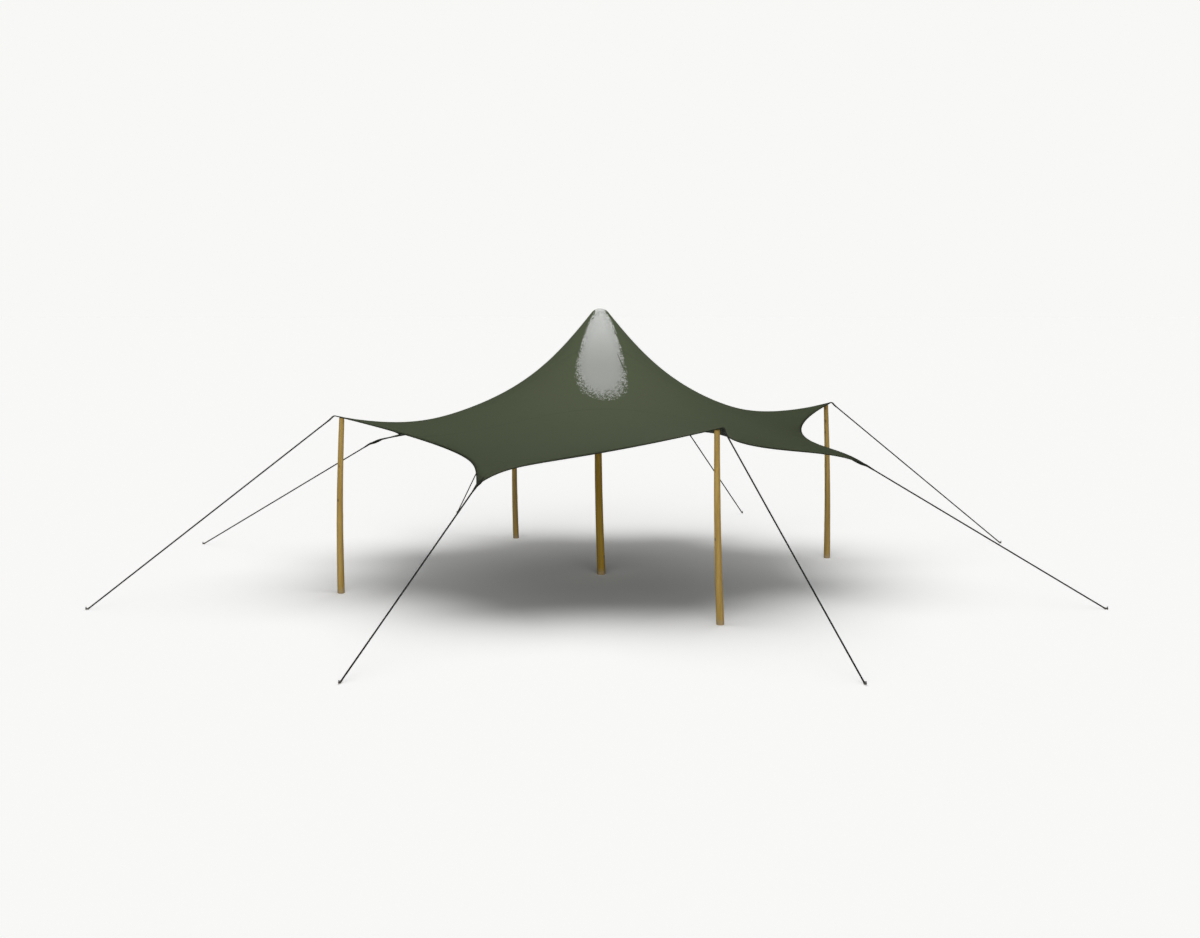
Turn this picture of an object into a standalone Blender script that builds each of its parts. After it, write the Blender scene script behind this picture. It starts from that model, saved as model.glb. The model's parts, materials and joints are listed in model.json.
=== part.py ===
"""Stretch tent: an eight-pointed fabric canopy drawn up to one peak on a centre pole.

Eight tips alternate round the canopy. Four high tips stand on side poles and are held by guy
ropes; four low tips have no pole and are pulled straight down by their ropes. Every edge between
two tips is a deep scallop. Metres, +Z up, the origin at the foot of the centre pole, with the
side that faces -Y as the front.
"""
import math

import bmesh
import bpy
import numpy as np
from mathutils import Vector
from mathutils.bvhtree import BVHTree

# Clearance between two pieces that touch
GAP = 0.0003

# Edges that turn by more than this stay sharp on round pieces
SHARP_ANGLE = math.radians(50)

# Tips, counted anticlockwise from the one just behind the +X axis; high and low ones alternate
TIPS = ("right", "back_right", "back", "back_left", "left", "front_left", "front", "front_right")
TIP_COUNT = len(TIPS)
FIRST_TIP_ANGLE = math.radians(22.5)
HIGH_TIP_RADIUS = 3.97
HIGH_TIP_HEIGHT = 2.51
LOW_TIP_RADIUS = 4.01
LOW_TIP_HEIGHT = 1.98
LOW_TIP_DROOP = {"back_right": 0.150, "back_left": 0.135, "front_left": 0.185, "front_right": 0.165}
LOW_TIP_DROOP_POWER = 12

# Two neighbouring tips are pulled out a little further than the rest
EXTRA_REACH = {"left": 0.05, "front_left": 0.05}

# Scalloped edge between two tips
SCALLOP_DEPTH = 0.68
SCALLOP_SAG = 0.11

# Peak, where the cloth lies over the domed head of the centre pole
PEAK_HEIGHT = 4.0
PEAK_SHIFT = -0.018
DOME_RADIUS = 0.16
DOME_EDGE_ANGLE = math.radians(48.6)
DOME_RINGS = 3

# Tensioned net that gives the canopy its shape
RINGS = 16
SPOKES_PER_SCALLOP = 8
SPOKES = TIP_COUNT * SPOKES_PER_SCALLOP
RADIAL_PULL = (1.0, 3.34)
HOOP_PULL = (3.1, 4.8)
CANOPY_THICKNESS = 0.006

# Hem cord along each scallop
HEM_RADIUS = 0.006
HEM_GAP = 0.0005
HEM_STOP = 0.06

# Webbing tab that joins each tip to its rope
TAB_LENGTH = 0.09
TAB_WIDTH = (0.044, 0.026)
HIGH_TAB_THICKNESS = 0.014
LOW_TAB_THICKNESS = 0.036
TAB_SIDES = 10

# Guy ropes: anchor radius and angle in degrees, as each rope meets the ground
ROPE_RADIUS = 0.010
ROPE_SIDES = 10
ANCHORS = {
    "right": (7.49, 23.9),
    "back_right": (7.39, 67.9),
    "back": (7.42, 112.5),
    "back_left": (7.40, 156.8),
    "left": (7.38, 201.7),
    "front_left": (7.26, 247.3),
    "front": (7.30, 292.7),
    "front_right": (7.27, 338.2),
}

# Ground pegs
PEG_RADIUS = 0.009
PEG_HEIGHT = 0.045
PEG_SIDES = 12

# Timber poles
POLE_SIDES = 12
POLE_CUTS = 8
POLE_TOP_ROUNDING = 0.018
POLE_TOP_SHOULDER = 0.0216
POLE_TOP_STEPS = (0.0, 0.45, 0.8, 1.0)
POLE_FOOT_ROUNDING = 0.006
CENTRE_POLE_FOOT_RADIUS = 0.062
CENTRE_POLE_TOP_RADIUS = 0.045
CENTRE_POLE_BOW = (-0.037, 0.0)
SIDE_POLE_FOOT_RADIUS = 0.051
SIDE_POLE_TOP_RADIUS = 0.036

# How far each side pole's foot and top stand from the centre pole, and its bow in x and y
SIDE_POLES = {
    "right": (3.938, 3.875, (0.018, 0.008)),
    "back": (3.905, 3.890, (-0.022, 0.0)),
    "left": (3.976, 3.921, (-0.020, -0.008)),
    "front": (3.950, 3.815, (-0.013, 0.0)),
}

# Domed head on the centre pole
HEAD_RADIUS = 0.115
HEAD_DOME_ALLOWANCE = 0.0016
HEAD_SKIRT = 0.045
HEAD_SKIRT_PROFILE = ((1.0, 0.45), (0.9, 0.9), (0.82, 1.0))
HEAD_SIDES = 24
HEAD_RINGS = 4

# Finishes: colour, roughness, metallic
FINISHES = {
    "canopy_cloth": ((0.056, 0.067, 0.038), 0.85, 0.0),
    "hem_cord": ((0.013, 0.016, 0.010), 0.9, 0.0),
    "tab_webbing": ((0.013, 0.015, 0.010), 0.9, 0.0),
    "pole_timber": ((0.29, 0.19, 0.048), 0.6, 0.0),
    "head_timber": ((0.26, 0.17, 0.07), 0.6, 0.0),
    "guy_rope": ((0.022, 0.023, 0.020), 0.9, 0.0),
    "peg_steel": ((0.25, 0.25, 0.26), 0.45, 1.0),
}


def clear_scene():
    """Remove every object that the file starts with."""
    for obj in list(bpy.data.objects):
        bpy.data.objects.remove(obj, do_unlink=True)


def make_materials():
    """One Principled material for each finish."""
    materials = {}
    for name, (colour, roughness, metallic) in FINISHES.items():
        material = bpy.data.materials.new(name)
        material.use_nodes = True
        shader = material.node_tree.nodes["Principled BSDF"]
        shader.inputs["Base Color"].default_value = (*colour, 1.0)
        shader.inputs["Roughness"].default_value = roughness
        shader.inputs["Metallic"].default_value = metallic
        material.diffuse_color = (*colour, 1.0)
        materials[name] = material
    return materials


def make_collection(name):
    """A collection for the tent's pieces."""
    collection = bpy.data.collections.new(name)
    bpy.context.scene.collection.children.link(collection)
    return collection


def polar(radius, angle, height=0.0):
    """A point at a distance and an angle from the centre pole's foot."""
    return Vector((radius * math.cos(angle), radius * math.sin(angle), height))


def tip_angle(tip):
    """The direction of a tip, seen from above."""
    return FIRST_TIP_ANGLE + tip * 2 * math.pi / TIP_COUNT


def is_high(tip):
    """High and low tips alternate, starting with a high one."""
    return tip % 2 == 0


def tip_point(tip, droop=True):
    """The corner of the cloth at a tip."""
    name = TIPS[tip % TIP_COUNT]
    extra = EXTRA_REACH.get(name, 0.0)
    if is_high(tip):
        return polar(HIGH_TIP_RADIUS + extra, tip_angle(tip), HIGH_TIP_HEIGHT)
    height = LOW_TIP_HEIGHT - (LOW_TIP_DROOP[name] if droop else 0.0)
    return polar(LOW_TIP_RADIUS + extra, tip_angle(tip), height)


def scallop_point(tip, share):
    """A point on the edge from one tip to the next, at a share of the way."""
    chord = tip_point(tip, droop=False).lerp(tip_point(tip + 1, droop=False), share)
    fullness = 4 * share * (1 - share)
    inward = polar(SCALLOP_DEPTH * fullness, tip_angle(tip + 0.5))
    low_tip, from_low_tip = (tip + 1, 1 - share) if is_high(tip) else (tip, share)
    droop = LOW_TIP_DROOP[TIPS[low_tip % TIP_COUNT]] * (1 - from_low_tip) ** LOW_TIP_DROOP_POWER
    return chord - inward - Vector((0, 0, SCALLOP_SAG * fullness + droop))


def spoke_angle(spoke):
    """The direction of a spoke of the net."""
    return FIRST_TIP_ANGLE + spoke * 2 * math.pi / SPOKES


def dome_point(edge_share, spoke):
    """A point of the cloth on the domed head, from its top at 0 to its edge at 1."""
    angle = DOME_EDGE_ANGLE * edge_share
    centre = Vector((PEAK_SHIFT, 0, PEAK_HEIGHT - DOME_RADIUS))
    out = polar(DOME_RADIUS * math.sin(angle), spoke_angle(spoke))
    return centre + out + Vector((0, 0, DOME_RADIUS * math.cos(angle)))


def edge_point(spoke):
    """The point where a spoke meets the scalloped edge."""
    tip, step = divmod(spoke % SPOKES, SPOKES_PER_SCALLOP)
    return scallop_point(tip, step / SPOKES_PER_SCALLOP)


def pull(ends, share):
    """The force density at a share of the way from the peak to the edge."""
    return ends[0] + (ends[1] - ends[0]) * share


def relaxed_net():
    """Balance a tensioned net between the peak and the edge: rings, spokes, xyz."""
    net = np.zeros((RINGS + 1, SPOKES, 3))
    for spoke in range(SPOKES):
        net[0, spoke] = dome_point(1.0, spoke)
        net[RINGS, spoke] = edge_point(spoke)
    free = (RINGS - 1) * SPOKES
    stiffness = np.zeros((free, free))
    load = np.zeros((free, 3))
    for ring in range(1, RINGS):
        hoop = pull(HOOP_PULL, ring / RINGS)
        inner = pull(RADIAL_PULL, (ring - 1) / (RINGS - 1))
        outer = pull(RADIAL_PULL, ring / (RINGS - 1))
        for spoke in range(SPOKES):
            row = (ring - 1) * SPOKES + spoke
            stiffness[row, row] = inner + outer + 2 * hoop
            for side in (-1, 1):
                stiffness[row, (ring - 1) * SPOKES + (spoke + side) % SPOKES] -= hoop
            for other, density in ((ring - 1, inner), (ring + 1, outer)):
                if 0 < other < RINGS:
                    stiffness[row, (other - 1) * SPOKES + spoke] -= density
                else:
                    load[row] += density * net[other, spoke]
    net[1:RINGS] = np.linalg.solve(stiffness, load).reshape(RINGS - 1, SPOKES, 3)
    return net


def canopy_rings(net):
    """Every ring of the sheet from the top of the dome to the edge."""
    dome = [
        [dome_point(ring / DOME_RINGS, spoke) for spoke in range(SPOKES)]
        for ring in range(1, DOME_RINGS)
    ]
    return dome + [[Vector(point) for point in ring] for ring in net]


def add_object(name, mesh, material, collection):
    """Link a mesh as a named piece with its material."""
    mesh.materials.clear()
    mesh.materials.append(material)
    obj = bpy.data.objects.new(name, mesh)
    collection.objects.link(obj)
    return obj


def evaluated_mesh(obj):
    """The mesh of an object with its modifiers applied."""
    depsgraph = bpy.context.evaluated_depsgraph_get()
    return bpy.data.meshes.new_from_object(obj.evaluated_get(depsgraph))


def make_canopy(net, material, collection):
    """The sheet starts as an open cone cut into rings, which is then pulled onto the net."""
    rings = canopy_rings(net)
    last = len(rings) - 1
    bm = bmesh.new()
    bmesh.ops.create_cone(
        bm,
        cap_ends=False,
        segments=SPOKES,
        radius1=last + 1,
        radius2=1,
        depth=last,
    )
    slanted = [edge for edge in bm.edges if edge.verts[0].co.z * edge.verts[1].co.z < 0]
    bmesh.ops.subdivide_edges(bm, edges=slanted, cuts=last - 1, use_grid_fill=True)
    for vert in bm.verts:
        ring = round(last / 2 - vert.co.z)
        turn = (math.atan2(vert.co.y, vert.co.x) / (2 * math.pi)) * SPOKES
        vert.co = rings[ring][round(turn) % SPOKES]
    top_edges = [edge for edge in bm.edges if edge.is_boundary and edge.verts[0].co.z > HIGH_TIP_HEIGHT]
    bmesh.ops.contextual_create(bm, geom=top_edges)
    bmesh.ops.recalc_face_normals(bm, faces=bm.faces)
    mesh = bpy.data.meshes.new("canopy")
    bm.to_mesh(mesh)
    bm.free()
    mesh.shade_smooth()
    canopy = add_object("canopy", mesh, material, collection)
    solidify = canopy.modifiers.new("Cloth", "SOLIDIFY")
    solidify.thickness = CANOPY_THICKNESS
    solidify.offset = 0
    solidify.use_even_offset = True
    return canopy


def seat_height(tree, foot, profile, sides):
    """The height at which a turned top, given as (radius, drop), just clears the cloth above."""
    heights = []
    for radius, drop in profile:
        for side in range(sides):
            start = foot + polar(radius, 2 * math.pi * side / sides)
            hit = tree.ray_cast(start, Vector((0, 0, 1)))[0]
            if hit:
                heights.append(hit.z + drop)
    return min(heights) - GAP


def turned_mesh(name, profile, sides):
    """Turn a profile of (radius, height) points, from the top axis down to the bottom axis."""
    mesh = bpy.data.meshes.new(name)
    points = [(radius, 0, height) for radius, height in profile]
    mesh.from_pydata(points, [(i, i + 1) for i in range(len(points) - 1)], [])
    blank = bpy.data.objects.new(name + "_profile", mesh)
    bpy.context.scene.collection.objects.link(blank)
    screw = blank.modifiers.new("Turn", "SCREW")
    screw.steps = sides
    screw.render_steps = sides
    screw.use_merge_vertices = True
    screw.merge_threshold = 0.0001
    turned = evaluated_mesh(blank)
    turned.name = name
    bpy.data.objects.remove(blank, do_unlink=True)
    return turned


def rounded_top(radius, rounding):
    """(radius, drop) points over a rounded end, from its top centre to its side."""
    flat = radius - POLE_TOP_SHOULDER
    points = [(0.0, 0.0)]
    for step in POLE_TOP_STEPS:
        angle = step * math.pi / 2
        points.append((flat + POLE_TOP_SHOULDER * math.sin(angle), rounding * (1 - math.cos(angle))))
    return points


def pole_radius(foot_radius, top_radius, share):
    """A natural pole tapers evenly from foot to top."""
    return foot_radius + (top_radius - foot_radius) * share


def make_pole(name, foot, top, bow, radii, material, collection):
    """A tapered pole whose centre line runs from foot to top with a gentle bow."""
    foot_radius, top_radius = radii
    height = top.z
    rounded = rounded_top(top_radius, POLE_TOP_ROUNDING)
    profile = [(radius, height - drop) for radius, drop in rounded]
    lowest = POLE_FOOT_ROUNDING / height
    highest = 1 - POLE_TOP_ROUNDING / height
    for cut in range(POLE_CUTS - 1, -1, -1):
        share = lowest + (highest - lowest) * cut / POLE_CUTS
        profile.append((pole_radius(foot_radius, top_radius, share), share * height))
    profile.append((foot_radius - POLE_FOOT_ROUNDING, 0.0))
    profile.append((0.0, 0.0))
    mesh = turned_mesh(name, profile, POLE_SIDES)
    for vert in mesh.vertices:
        share = vert.co.z / height
        swell = math.sin(math.pi * share)
        vert.co.x += foot.x + (top.x - foot.x) * share + bow[0] * swell
        vert.co.y += foot.y + (top.y - foot.y) * share + bow[1] * swell
    mesh.shade_smooth()
    mesh.set_sharp_from_angle(angle=SHARP_ANGLE)
    return add_object(name, mesh, material, collection)


def make_side_poles(tree, materials, collection):
    """One pole under each high tip, its top just inside the tip."""
    profile = rounded_top(SIDE_POLE_TOP_RADIUS, POLE_TOP_ROUNDING)
    radii = (SIDE_POLE_FOOT_RADIUS, SIDE_POLE_TOP_RADIUS)
    for name, (foot_distance, top_distance, bow) in SIDE_POLES.items():
        angle = tip_angle(TIPS.index(name))
        foot = polar(foot_distance, angle)
        top = polar(top_distance, angle)
        top.z = seat_height(tree, top, profile, POLE_SIDES)
        make_pole("side_pole_" + name, foot, top, bow, radii, materials["pole_timber"], collection)


def head_dome():
    """(radius, drop) points of the head's dome, which lies just under the cloth."""
    radius = DOME_RADIUS - CANOPY_THICKNESS / 2 - HEAD_DOME_ALLOWANCE
    edge = math.asin(HEAD_RADIUS / radius)
    angles = [edge * ring / HEAD_RINGS for ring in range(HEAD_RINGS + 1)]
    return [(radius * math.sin(angle), radius * (1 - math.cos(angle))) for angle in angles]


def make_centre_pole(tree, materials, collection):
    """The tall pole and the domed head that carries the peak."""
    peak = Vector((PEAK_SHIFT, 0, 0))
    dome = head_dome()
    head_top = seat_height(tree, peak, dome, HEAD_SIDES)
    edge_radius, edge_drop = dome[-1]
    head_bottom = head_top - edge_drop - HEAD_SKIRT
    profile = [(radius, head_top - drop) for radius, drop in dome]
    for width, down in HEAD_SKIRT_PROFILE:
        profile.append((edge_radius * width, head_top - edge_drop - HEAD_SKIRT * down))
    profile.append((0.0, head_bottom))
    mesh = turned_mesh("centre_pole_head", profile, HEAD_SIDES)
    for vert in mesh.vertices:
        vert.co.x += PEAK_SHIFT
    mesh.shade_smooth()
    mesh.set_sharp_from_angle(angle=SHARP_ANGLE)
    add_object("centre_pole_head", mesh, materials["head_timber"], collection)
    top = Vector((PEAK_SHIFT, 0, head_bottom - GAP))
    radii = (CENTRE_POLE_FOOT_RADIUS, CENTRE_POLE_TOP_RADIUS)
    timber = materials["pole_timber"]
    make_pole("centre_pole", Vector(), top, CENTRE_POLE_BOW, radii, timber, collection)


def make_hem(name, net, tip, material, collection):
    """A cord sewn along one scallop, just outside the edge of the cloth."""
    first = tip * SPOKES_PER_SCALLOP
    spokes = [(first + step) % SPOKES for step in range(SPOKES_PER_SCALLOP + 1)]
    edge = [Vector(net[RINGS, spoke]) for spoke in spokes]
    inner = [Vector(net[RINGS - 1, spoke]) for spoke in spokes]
    points = []
    for i, point in enumerate(edge):
        along = (edge[min(i + 1, len(edge) - 1)] - edge[max(i - 1, 0)]).normalized()
        outward = point - inner[i]
        outward = (outward - outward.dot(along) * along).normalized()
        points.append(point + outward * (HEM_RADIUS + HEM_GAP))
    points[0] = points[0] + (points[1] - points[0]).normalized() * HEM_STOP
    points[-1] = points[-1] + (points[-2] - points[-1]).normalized() * HEM_STOP
    curve = bpy.data.curves.new(name, "CURVE")
    curve.dimensions = "3D"
    curve.bevel_depth = HEM_RADIUS
    curve.bevel_resolution = 2
    curve.use_fill_caps = True
    spline = curve.splines.new("POLY")
    spline.points.add(len(points) - 1)
    for spot, point in zip(spline.points, points):
        spot.co = (*point, 1.0)
    curve.materials.append(material)
    collection.objects.link(bpy.data.objects.new(name, curve))


def along_axis(mesh, start, direction):
    """Turn a mesh made along +Z so that it runs from start in a direction, its X level."""
    level = Vector((0, 0, 1)).cross(direction).normalized()
    upper = direction.cross(level)
    for vert in mesh.vertices:
        x, y, z = vert.co
        vert.co = start + level * x + upper * y + direction * z


def rod_mesh(name, radii, length, sides):
    """A straight tapered rod along +Z, from 0 to its length."""
    bm = bmesh.new()
    bmesh.ops.create_cone(
        bm,
        cap_ends=True,
        segments=sides,
        radius1=radii[0],
        radius2=radii[1],
        depth=length,
    )
    bmesh.ops.translate(bm, verts=bm.verts, vec=(0, 0, length / 2))
    mesh = bpy.data.meshes.new(name)
    bm.to_mesh(mesh)
    bm.free()
    return mesh


def rope_end(tip, anchor):
    """The centre of the rope's lower end, which just clears the ground, and its direction."""
    radius, degrees = anchor
    ground = polar(radius, math.radians(degrees))
    start = tip_point(tip)
    direction = (ground - start).normalized()
    lift = ROPE_RADIUS * math.hypot(direction.x, direction.y)
    end = ground - direction * (lift / -direction.z)
    return end, direction


def make_guy(name, tip, canopy_verts, materials, collection):
    """The tab, rope and peg that hold one tip."""
    start = tip_point(tip)
    end, direction = rope_end(tip, ANCHORS[name])
    near = [vert for vert in canopy_verts if (vert - start).length < TAB_LENGTH]
    tab_start = max((vert - start).dot(direction) for vert in near) + GAP
    widths = [width / 2 for width in TAB_WIDTH]
    tab = rod_mesh("tip_tab_" + name, widths, TAB_LENGTH, TAB_SIDES)
    thickness = HIGH_TAB_THICKNESS if is_high(tip) else LOW_TAB_THICKNESS
    for vert in tab.vertices:
        vert.co.y *= thickness / TAB_WIDTH[0]
    along_axis(tab, start + direction * tab_start, direction)
    add_object("tip_tab_" + name, tab, materials["tab_webbing"], collection)
    rope_start = start + direction * (tab_start + TAB_LENGTH + GAP)
    length = (end - rope_start).length
    rope = rod_mesh("guy_rope_" + name, (ROPE_RADIUS, ROPE_RADIUS), length, ROPE_SIDES)
    along_axis(rope, rope_start, direction)
    rope.shade_smooth()
    rope.set_sharp_from_angle(angle=SHARP_ANGLE)
    add_object("guy_rope_" + name, rope, materials["guy_rope"], collection)
    make_peg(name, end, direction, materials["peg_steel"], collection)


def make_peg(name, end, direction, material, collection):
    """The head of the steel peg that the rope is tied to, standing on the ground."""
    level = Vector((direction.x, direction.y, 0)).normalized()
    reach = ROPE_RADIUS * -direction.z + PEG_RADIUS + GAP
    peg = rod_mesh("ground_peg_" + name, (PEG_RADIUS, PEG_RADIUS), PEG_HEIGHT, PEG_SIDES)
    foot = Vector((end.x, end.y, 0)) + level * reach
    for vert in peg.vertices:
        vert.co += foot
    peg.shade_smooth()
    peg.set_sharp_from_angle(angle=SHARP_ANGLE)
    add_object("ground_peg_" + name, peg, material, collection)


def main():
    """Build the whole tent."""
    clear_scene()
    materials = make_materials()
    collection = make_collection("stretch_tent")
    net = relaxed_net()
    canopy = make_canopy(net, materials["canopy_cloth"], collection)
    depsgraph = bpy.context.evaluated_depsgraph_get()
    tree = BVHTree.FromObject(canopy, depsgraph)
    canopy_verts = [vert.co.copy() for vert in evaluated_mesh(canopy).vertices]
    make_centre_pole(tree, materials, collection)
    make_side_poles(tree, materials, collection)
    for tip, name in enumerate(TIPS):
        make_hem("hem_" + name, net, tip, materials["hem_cord"], collection)
        make_guy(name, tip, canopy_verts, materials, collection)


main()
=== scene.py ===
"""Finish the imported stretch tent: cloth, hems, webbing, laid ropes, timber poles and pegs.

The file is laid out as an add-on. Each operator makes one kind of piece around the fixed frame,
and main() runs them in order. Metres, +Z up, the front of the tent towards -Y.
"""
import json
import math

import bmesh
import bpy
import numpy as np
from bpy.props import FloatProperty, FloatVectorProperty, IntProperty, PointerProperty
from mathutils import Matrix, Vector


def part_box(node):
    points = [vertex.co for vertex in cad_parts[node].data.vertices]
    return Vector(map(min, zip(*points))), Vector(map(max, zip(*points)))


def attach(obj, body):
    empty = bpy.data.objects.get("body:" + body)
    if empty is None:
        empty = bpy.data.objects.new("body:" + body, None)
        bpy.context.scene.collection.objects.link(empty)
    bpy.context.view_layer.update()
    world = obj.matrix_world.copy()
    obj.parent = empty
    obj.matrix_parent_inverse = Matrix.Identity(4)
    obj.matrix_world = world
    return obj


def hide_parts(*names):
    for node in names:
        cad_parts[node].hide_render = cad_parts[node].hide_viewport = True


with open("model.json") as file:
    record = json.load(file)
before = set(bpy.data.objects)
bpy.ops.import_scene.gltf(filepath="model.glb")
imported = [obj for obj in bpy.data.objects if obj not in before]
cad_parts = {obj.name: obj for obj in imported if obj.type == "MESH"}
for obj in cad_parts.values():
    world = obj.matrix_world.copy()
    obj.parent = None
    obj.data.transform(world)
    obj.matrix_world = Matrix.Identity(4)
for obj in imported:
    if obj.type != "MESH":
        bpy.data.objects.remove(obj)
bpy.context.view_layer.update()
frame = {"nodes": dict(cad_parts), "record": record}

bl_info = {
    "name": "Stretch Tent Finisher",
    "version": (1, 0, 0),
    "blender": (4, 5, 0),
    "location": "3D View > Sidebar > Stretch Tent",
    "description": "Makes the cloth, ropes, poles and pegs of a stretch tent around its frame",
    "category": "Object",
}

BODY = "root"
RECORD_COLOURS = {row["slot"]: tuple(row["base_color"]) for row in frame["record"]["materials"]}

# Tips, counted anticlockwise from the one just behind the +X axis; high and low ones alternate
TIPS = ("right", "back_right", "back", "back_left", "left", "front_left", "front", "front_right")
HIGH_TIPS = TIPS[::2]
TIP_COUNT = len(TIPS)
FIRST_TIP_ANGLE = math.radians(22.5)
HIGH_TIP_RADIUS = 3.97
HIGH_TIP_HEIGHT = 2.51
LOW_TIP_RADIUS = 4.01
LOW_TIP_HEIGHT = 1.98
LOW_TIP_DROOP = {"back_right": 0.150, "back_left": 0.135, "front_left": 0.185, "front_right": 0.165}
LOW_TIP_DROOP_POWER = 12

# Two neighbouring tips are pulled out a little further than the rest
EXTRA_REACH = {"left": 0.05, "front_left": 0.05}

# Scalloped edge between two tips
SCALLOP_DEPTH = 0.68
SCALLOP_SAG = 0.11

# Peak over the domed head
PEAK_HEIGHT = 4.0
PEAK_SHIFT = -0.018
DOME_RADIUS = 0.16
DOME_EDGE_ANGLE = math.radians(48.6)
DOME_RINGS = 9

# Tensioned net behind the canopy's shape; its pulls are those of the frame's coarser net
RINGS = 64
SPOKES_PER_SCALLOP = 64
SPOKES = TIP_COUNT * SPOKES_PER_SCALLOP
FRAME_RINGS = 16
FRAME_SPOKES = 64
RADIAL_PULL = (1.0, 3.34)
HOOP_PULL = (3.1, 4.8)
NET_STEPS = 900
NET_TOLERANCE = 1e-14

# Photo camera
CAMERA_PLACE = (0.0, -22.3325, 3.9673)
CAMERA_TILT = math.radians(83.955)
CAMERA_TURN = math.radians(0.0485)
CAMERA_LENS = 44.86
CAMERA_SENSOR = 36.0
CAMERA_REACH = 3000.0

# Floor and sky
FLOOR_RADIUS = 900.0
FLOOR_SIDES = 96
WHITE = (1.0, 1.0, 1.0)

# Poles: rings of mesh in each metre, sides, and how far from its ends a pole stays smoother
POLE_RINGS_PER_METRE = 60
POLE_SIDES = 56
POLE_END_CALM = 0.05

# Extra rings over a pole's rounded top and foot: how deep they reach and how many they are
POLE_END_RINGS = ((0.022, 10), (0.008, 5))

# Lumps of a pole in each metre, across and up it
POLE_LUMPS = (9.0, 9.0, 2.2)

# Corded hems: where they end before each tip, how far they stand out, in radii, and their sides
HEM_STOP = 0.012
HEM_OVERHANG = 0.93
HEM_SIDES = 12

# Stitches: how far the hem's stand out of the cloth, in thicknesses of their thread, and their mesh
STITCH_RISE = 0.2
STITCH_SIDES = 6
STITCH_RINGS = 4

# Webbing tabs: how far they reach over the cloth, and their sections from there down to the rope
# as shares of the length, widths and thicknesses; a low tab is full of the cloth gathered in it
HIGH_TAB_OVERLAP = 0.11
HIGH_TAB_SHARES = (0.0, 0.35, 0.5, 0.65, 1.0)
HIGH_TAB_WIDTHS = (0.036, 0.042, 0.044, 0.039, 0.0255)
HIGH_TAB_THICKNESSES = (0.006, 0.010, 0.015, 0.019, 0.0225)
LOW_TAB_OVERLAP = 0.21
LOW_TAB_SHARES = (0.0, 0.22, 0.45, 0.62, 0.80, 1.0)
LOW_TAB_WIDTHS = (0.036, 0.042, 0.044, 0.040, 0.031, 0.0255)
LOW_TAB_THICKNESSES = (0.010, 0.030, 0.040, 0.034, 0.0265, 0.0235)
TAB_SIDES = 20
TAB_STATIONS = 26

# Where a tab's line is held, in shares of its overlap; how square its section is; its pattern's step
TAB_HOLDS = (1.0, 0.66, 0.33)
TAB_ROUNDING = (0.55, 0.75)
TAB_GIRTH_STEP = 0.003

# Stitches on the tabs: the stations that they span and their lift as a share of the thickness
TAB_STITCHED = slice(1, 19)
TAB_STITCH_PITCH = 0.006
TAB_STITCH_LENGTH = 0.0042
TAB_STITCH_INSET = 0.0105
TAB_STITCH_LIFT = 0.47

# How far apart the threads of the webbing and the ribs of the hems' sleeves lie
WEBBING_PITCH = 0.0034
HEM_RIB_PITCH = 0.003

# Felled seams between the rolls of cloth, in distances from the seam's middle: the edge of the
# band, its rows of stitches and their thread; then the pitch of the stitches and their ends
SEAM_BAND = (0.0065, 0.008)
SEAM_ROW = 0.0045
SEAM_THREAD = (0.0006, 0.0012)
SEAM_STITCH_PITCH = 0.0045
SEAM_STITCH_END = (0.62, 0.7)

# Where the cloth is doubled: how far in its hem is folded and how far its corner patches reach
HEM_FOLD = (0.024, 0.026)
CORNER_PATCH = (0.238, 0.242)

# Painted shade on the cloth's underside: how light the underside is painted against its upper face
UNDERSIDE_PAINTED_SHADE = 0.55

# Worn patch on the front of the peak, seen from above: centre, half size, shape and dark slit
PATCH_CENTRE = (-0.008, -0.725)
PATCH_HALF_SIZE = (0.325, 0.66)
PATCH_NARROWING = 0.20
PATCH_SKEW = 0.06
PATCH_TOP = (-0.018, -0.05, 0.075)
PATCH_SPECKLE = 84.0
PATCH_SLIT = ((0.236, -0.605), (0.335, -0.830))
PATCH_SLIT_WIDTH = 0.010
PATCH_SLIT_EDGE = 0.002

# The patch's border: how wide the grit spreads from its lower to its upper half, how far the line
# drifts and how sharp it is; then the heights of its two tones and those where streaks grow strong
PATCH_GRIT = (-0.8, 0.5, 0.42, 0.15)
PATCH_DRIFT = 0.10
PATCH_EDGE = 0.012
PATCH_HEIGHTS = (3.12, 3.85)
PATCH_STREAKED = (3.6, 3.85, 0.15, 1.0)

# Laid ropes: profile, roundness of a strand, strand crowns against the plain radius, how the
# fibres turn across and along a strand, its painted highlight on the crown and painted shade on its sides,
# and twine
ROPE_PROFILE_SIDES = 18
STRAND_SWELL = 0.62
CROWN_SHARE = 1.08
ROPE_FIBRES = (5.0, 1500.0)
ROPE_PAINTED_SHADING = (0.35, 0.95, 1.12, 0.55)
TWINE_THICKNESS = 0.0024
TWINE_SIDES = 6
WHIPPING_SIDES = 24

# Cord that lashes each rope to its peg
LASHING_CORD = 0.0016
LASHING_TURNS = 5
LASHING_STEPS = 24
LASHING_SIDES = 8
LASHING_FOOT = 0.011
LASHING_SPACING = 2.1
LASHING_SLACK = 1.12

# Turned pieces: how close points are merged, and the angle from which an edge is sharp
TURNED_MERGE = 0.00001
TURNED_SHARP_ANGLE = math.radians(40)

# Peg head and shank as shares of the CAD peg's radius and height
PEG_PROFILE = ((0.0, 1.0), (0.55, 1.0), (0.9, 0.97), (1.0, 0.9), (0.97, 0.83), (0.82, 0.77), (0.78, 0.5))
PEG_FOOT = ((0.78, 0.04), (0.70, 0.0), (0.0, 0.0))
PEG_SHANK_SHARE = 0.80
PEG_SIDES = 32

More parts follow.
